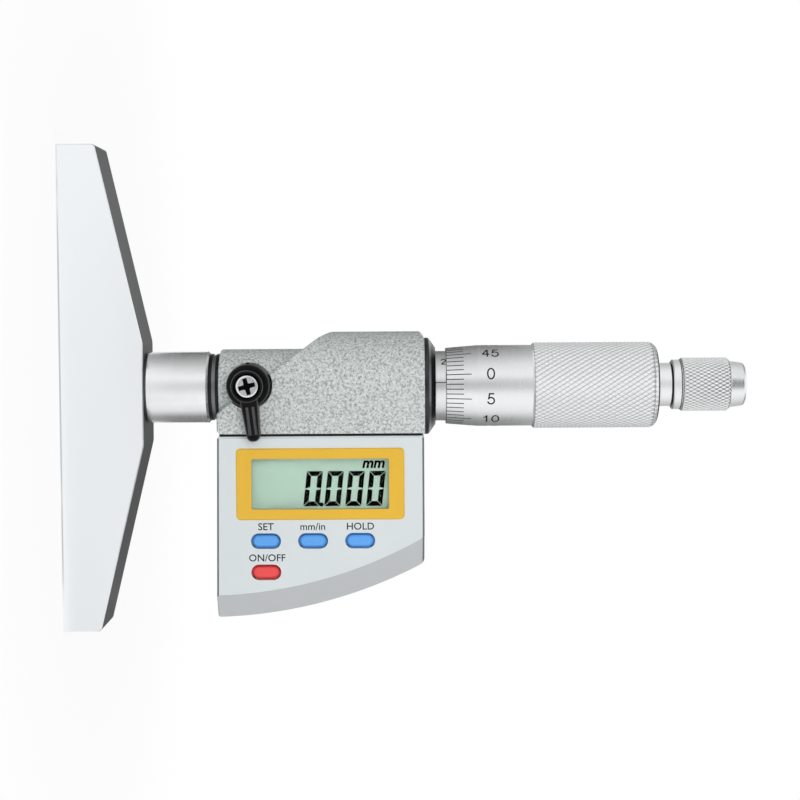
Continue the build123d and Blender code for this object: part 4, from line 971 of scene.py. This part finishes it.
def card_material(axis, steps):
    """Grey that metal reflects: (position, level) steps across the card, its two ends first."""
    material = bpy.data.materials.new("grey_card")
    tree = empty_tree(material)
    place = tree.nodes.new("ShaderNodeTexCoord")
    split = tree.nodes.new("ShaderNodeSeparateXYZ")
    ramp = tree.nodes.new("ShaderNodeValToRGB")
    glow = tree.nodes.new("ShaderNodeEmission")
    out = tree.nodes.new("ShaderNodeOutputMaterial")
    spots = ramp.color_ramp.elements
    for index, (position, level) in enumerate(steps):
        stop = spots[index] if index < 2 else spots.new(position)
        stop.position = position
        stop.color = (level, level, level, 1)
    tree.links.new(place.outputs["Generated"], split.inputs[0])
    tree.links.new(split.outputs[axis], ramp.inputs["Fac"])
    tree.links.new(ramp.outputs["Color"], glow.inputs["Color"])
    tree.links.new(glow.outputs[0], out.inputs["Surface"])
    return material


def card(name, corners, axis, steps):
    """A grey card that only reflections see."""
    staged(name, corners, card_material(axis, steps), visible_camera=False, visible_diffuse=False,
           visible_shadow=False, visible_transmission=False)


def upright(first, last, low, high):
    """Corners of an upright card from one (x, y) to another."""
    return [(*first, low), (*first, high), (*last, high), (*last, low)]


def world():
    """White where it is seen, and a softer level as light on the part."""
    scene_world = bpy.data.worlds.new("studio")
    bpy.context.scene.world = scene_world
    tree = empty_tree(scene_world)
    level = tree.nodes.new("ShaderNodeMapRange")
    level.inputs["To Min"].default_value = 0.36
    level.inputs["To Max"].default_value = 1.0
    back = tree.nodes.new("ShaderNodeBackground")
    back.inputs["Color"].default_value = (1, 1, 1, 1)
    out = tree.nodes.new("ShaderNodeOutputWorld")
    tree.links.new(seen_rays(tree), level.inputs["Value"])
    tree.links.new(level.outputs["Result"], back.inputs["Strength"])
    tree.links.new(back.outputs[0], out.inputs["Surface"])


def lamp(name, place, power):
    """A square lamp aimed at the middle of the part, not seen in reflections."""
    light = bpy.data.lights.new(name, "AREA")
    light.shape = "RECTANGLE"
    light.size = 0.6
    light.size_y = 0.6
    light.energy = power
    shown = bpy.data.objects.new(name, light)
    bpy.context.scene.collection.objects.link(shown)
    shown.location = place
    shown.visible_glossy = False
    target = Vector((0, 0, 0.07))
    shown.rotation_euler = (target - Vector(place)).to_track_quat("-Z", "Y").to_euler()


def side_cards():
    """Cards at both sides, pale in front and dark behind, for the edges of the turned metal."""
    left = ((0.0, 1.0), (1.0, 0.15), (0.43, 0.72), (0.68, 0.32), (0.83, 0.19))
    right = ((0.0, 1.0), (1.0, 0.18), (0.3, 1.0), (0.52, 0.86), (0.66, 0.26), (0.76, 0.22))
    grip = ((0.0, 1.0), (1.0, 0.45), (0.5, 0.95), (0.7, 0.6))
    front_x, front_y = 0.165, -0.25
    back_x, back_y = 0.08, 0.17
    for name, side, low, high, steps in (
            ("card_left", -1, 0, 0.107, left), ("card_right", 1, 0, 0.107, right),
            ("card_left_grip", -1, 0.107, 0.2, grip), ("card_right_grip", 1, 0.107, 0.2, grip),
            ("card_left_end", -1, 0.2, 0.35, left), ("card_right_end", 1, 0.2, 0.35, right)):
        card(name, upright((side * front_x, front_y), (side * back_x, back_y), low, high), "Y", steps)


def front_cards():
    """Cards in front with a darker band at the middle, for the middles of the turned metal."""
    for name, left, right, y, low, high, level, half in (
            ("card_bevel", -0.24, 0.16, -0.42, 0.01, 0.06, 0.0, 0.14),
            ("card_thimble", -0.24, 0.16, -0.42, 0.06, 0.13, 0.2, 0.09),
            ("card_neck", -0.2, 0.14, -0.42, 0.13, 0.25, 0.97, 0.08),
            ("card_cone", -0.3, 0.24, -0.42, 0.27, 0.46, 0.0, 0.22),
            ("card_stem", -0.075, 0.055, -0.13, 0, 0.03, 0.76, 0.08)):
        steps = ((0.0, 1.0), (1.0, 1.0), (0.5 - half, level), (0.5 + half, level))
        card(name, upright((left, y), (right, y), low, high), "X", steps)


def base_cards():
    """Dark cards behind the base for its slopes, and one on the floor before it that tints its front."""
    behind_y, low, high = 0.25, 0.012, 0.17
    for name, left, right, level in (
            ("card_back_left", -0.25, 0.0, 0.25), ("card_back_right", 0.0, 0.3, 0.135)):
        steps = ((0.0, level), (1.0, 1.0), (0.55, level))
        card(name, upright((left, behind_y), (right, behind_y), low, high), "Z", steps)
    left, right, front, back, lift = -0.06, 0.085, -0.11, -0.012, 0.0005
    corners = [(left, front, lift), (right, front, lift), (right, back, lift), (left, back, lift)]
    card("card_base", corners, "X", ((0.0, 1.0), (1.0, 0.77)))


def stage():
    """Floor, cards, lamps and the world."""
    reach = 6.0
    corners = [(-reach, -reach, 0), (reach, -reach, 0), (reach, reach, 0), (-reach, reach, 0)]
    staged("floor", corners, floor_material())
    side_cards()
    front_cards()
    base_cards()
    lamp("key", (-0.12, -0.9, 0.2), 5.2)
    lamp("fill", (0.55, -0.65, 0.25), 0.3)
    lamp("rear", (0.0, 0.95, 0.3), 2.6)
    world()


def camera():
    """Camera at the photograph's place, turned on its side."""
    data = bpy.data.cameras.new("camera")
    data.sensor_width = 36.0
    data.lens = 81.593
    data.clip_start = 0.01
    shown = bpy.data.objects.new("camera", data)
    bpy.context.scene.collection.objects.link(shown)
    right = Vector((0.00584, -0.00083, 0.999983))
    down = Vector((0.998445, -0.055434, -0.005877))
    ahead = Vector((0.055437, 0.998462, 0.000505))
    place = Vector((-18.083, -378.375, 69.591)) * MM
    turn = Matrix((right, -down, -ahead)).transposed()
    shown.matrix_world = Matrix.Translation(place) @ turn.to_4x4()
    bpy.context.scene.camera = shown


stage()
camera()
bpy.context.scene.view_settings.view_transform = "Standard"
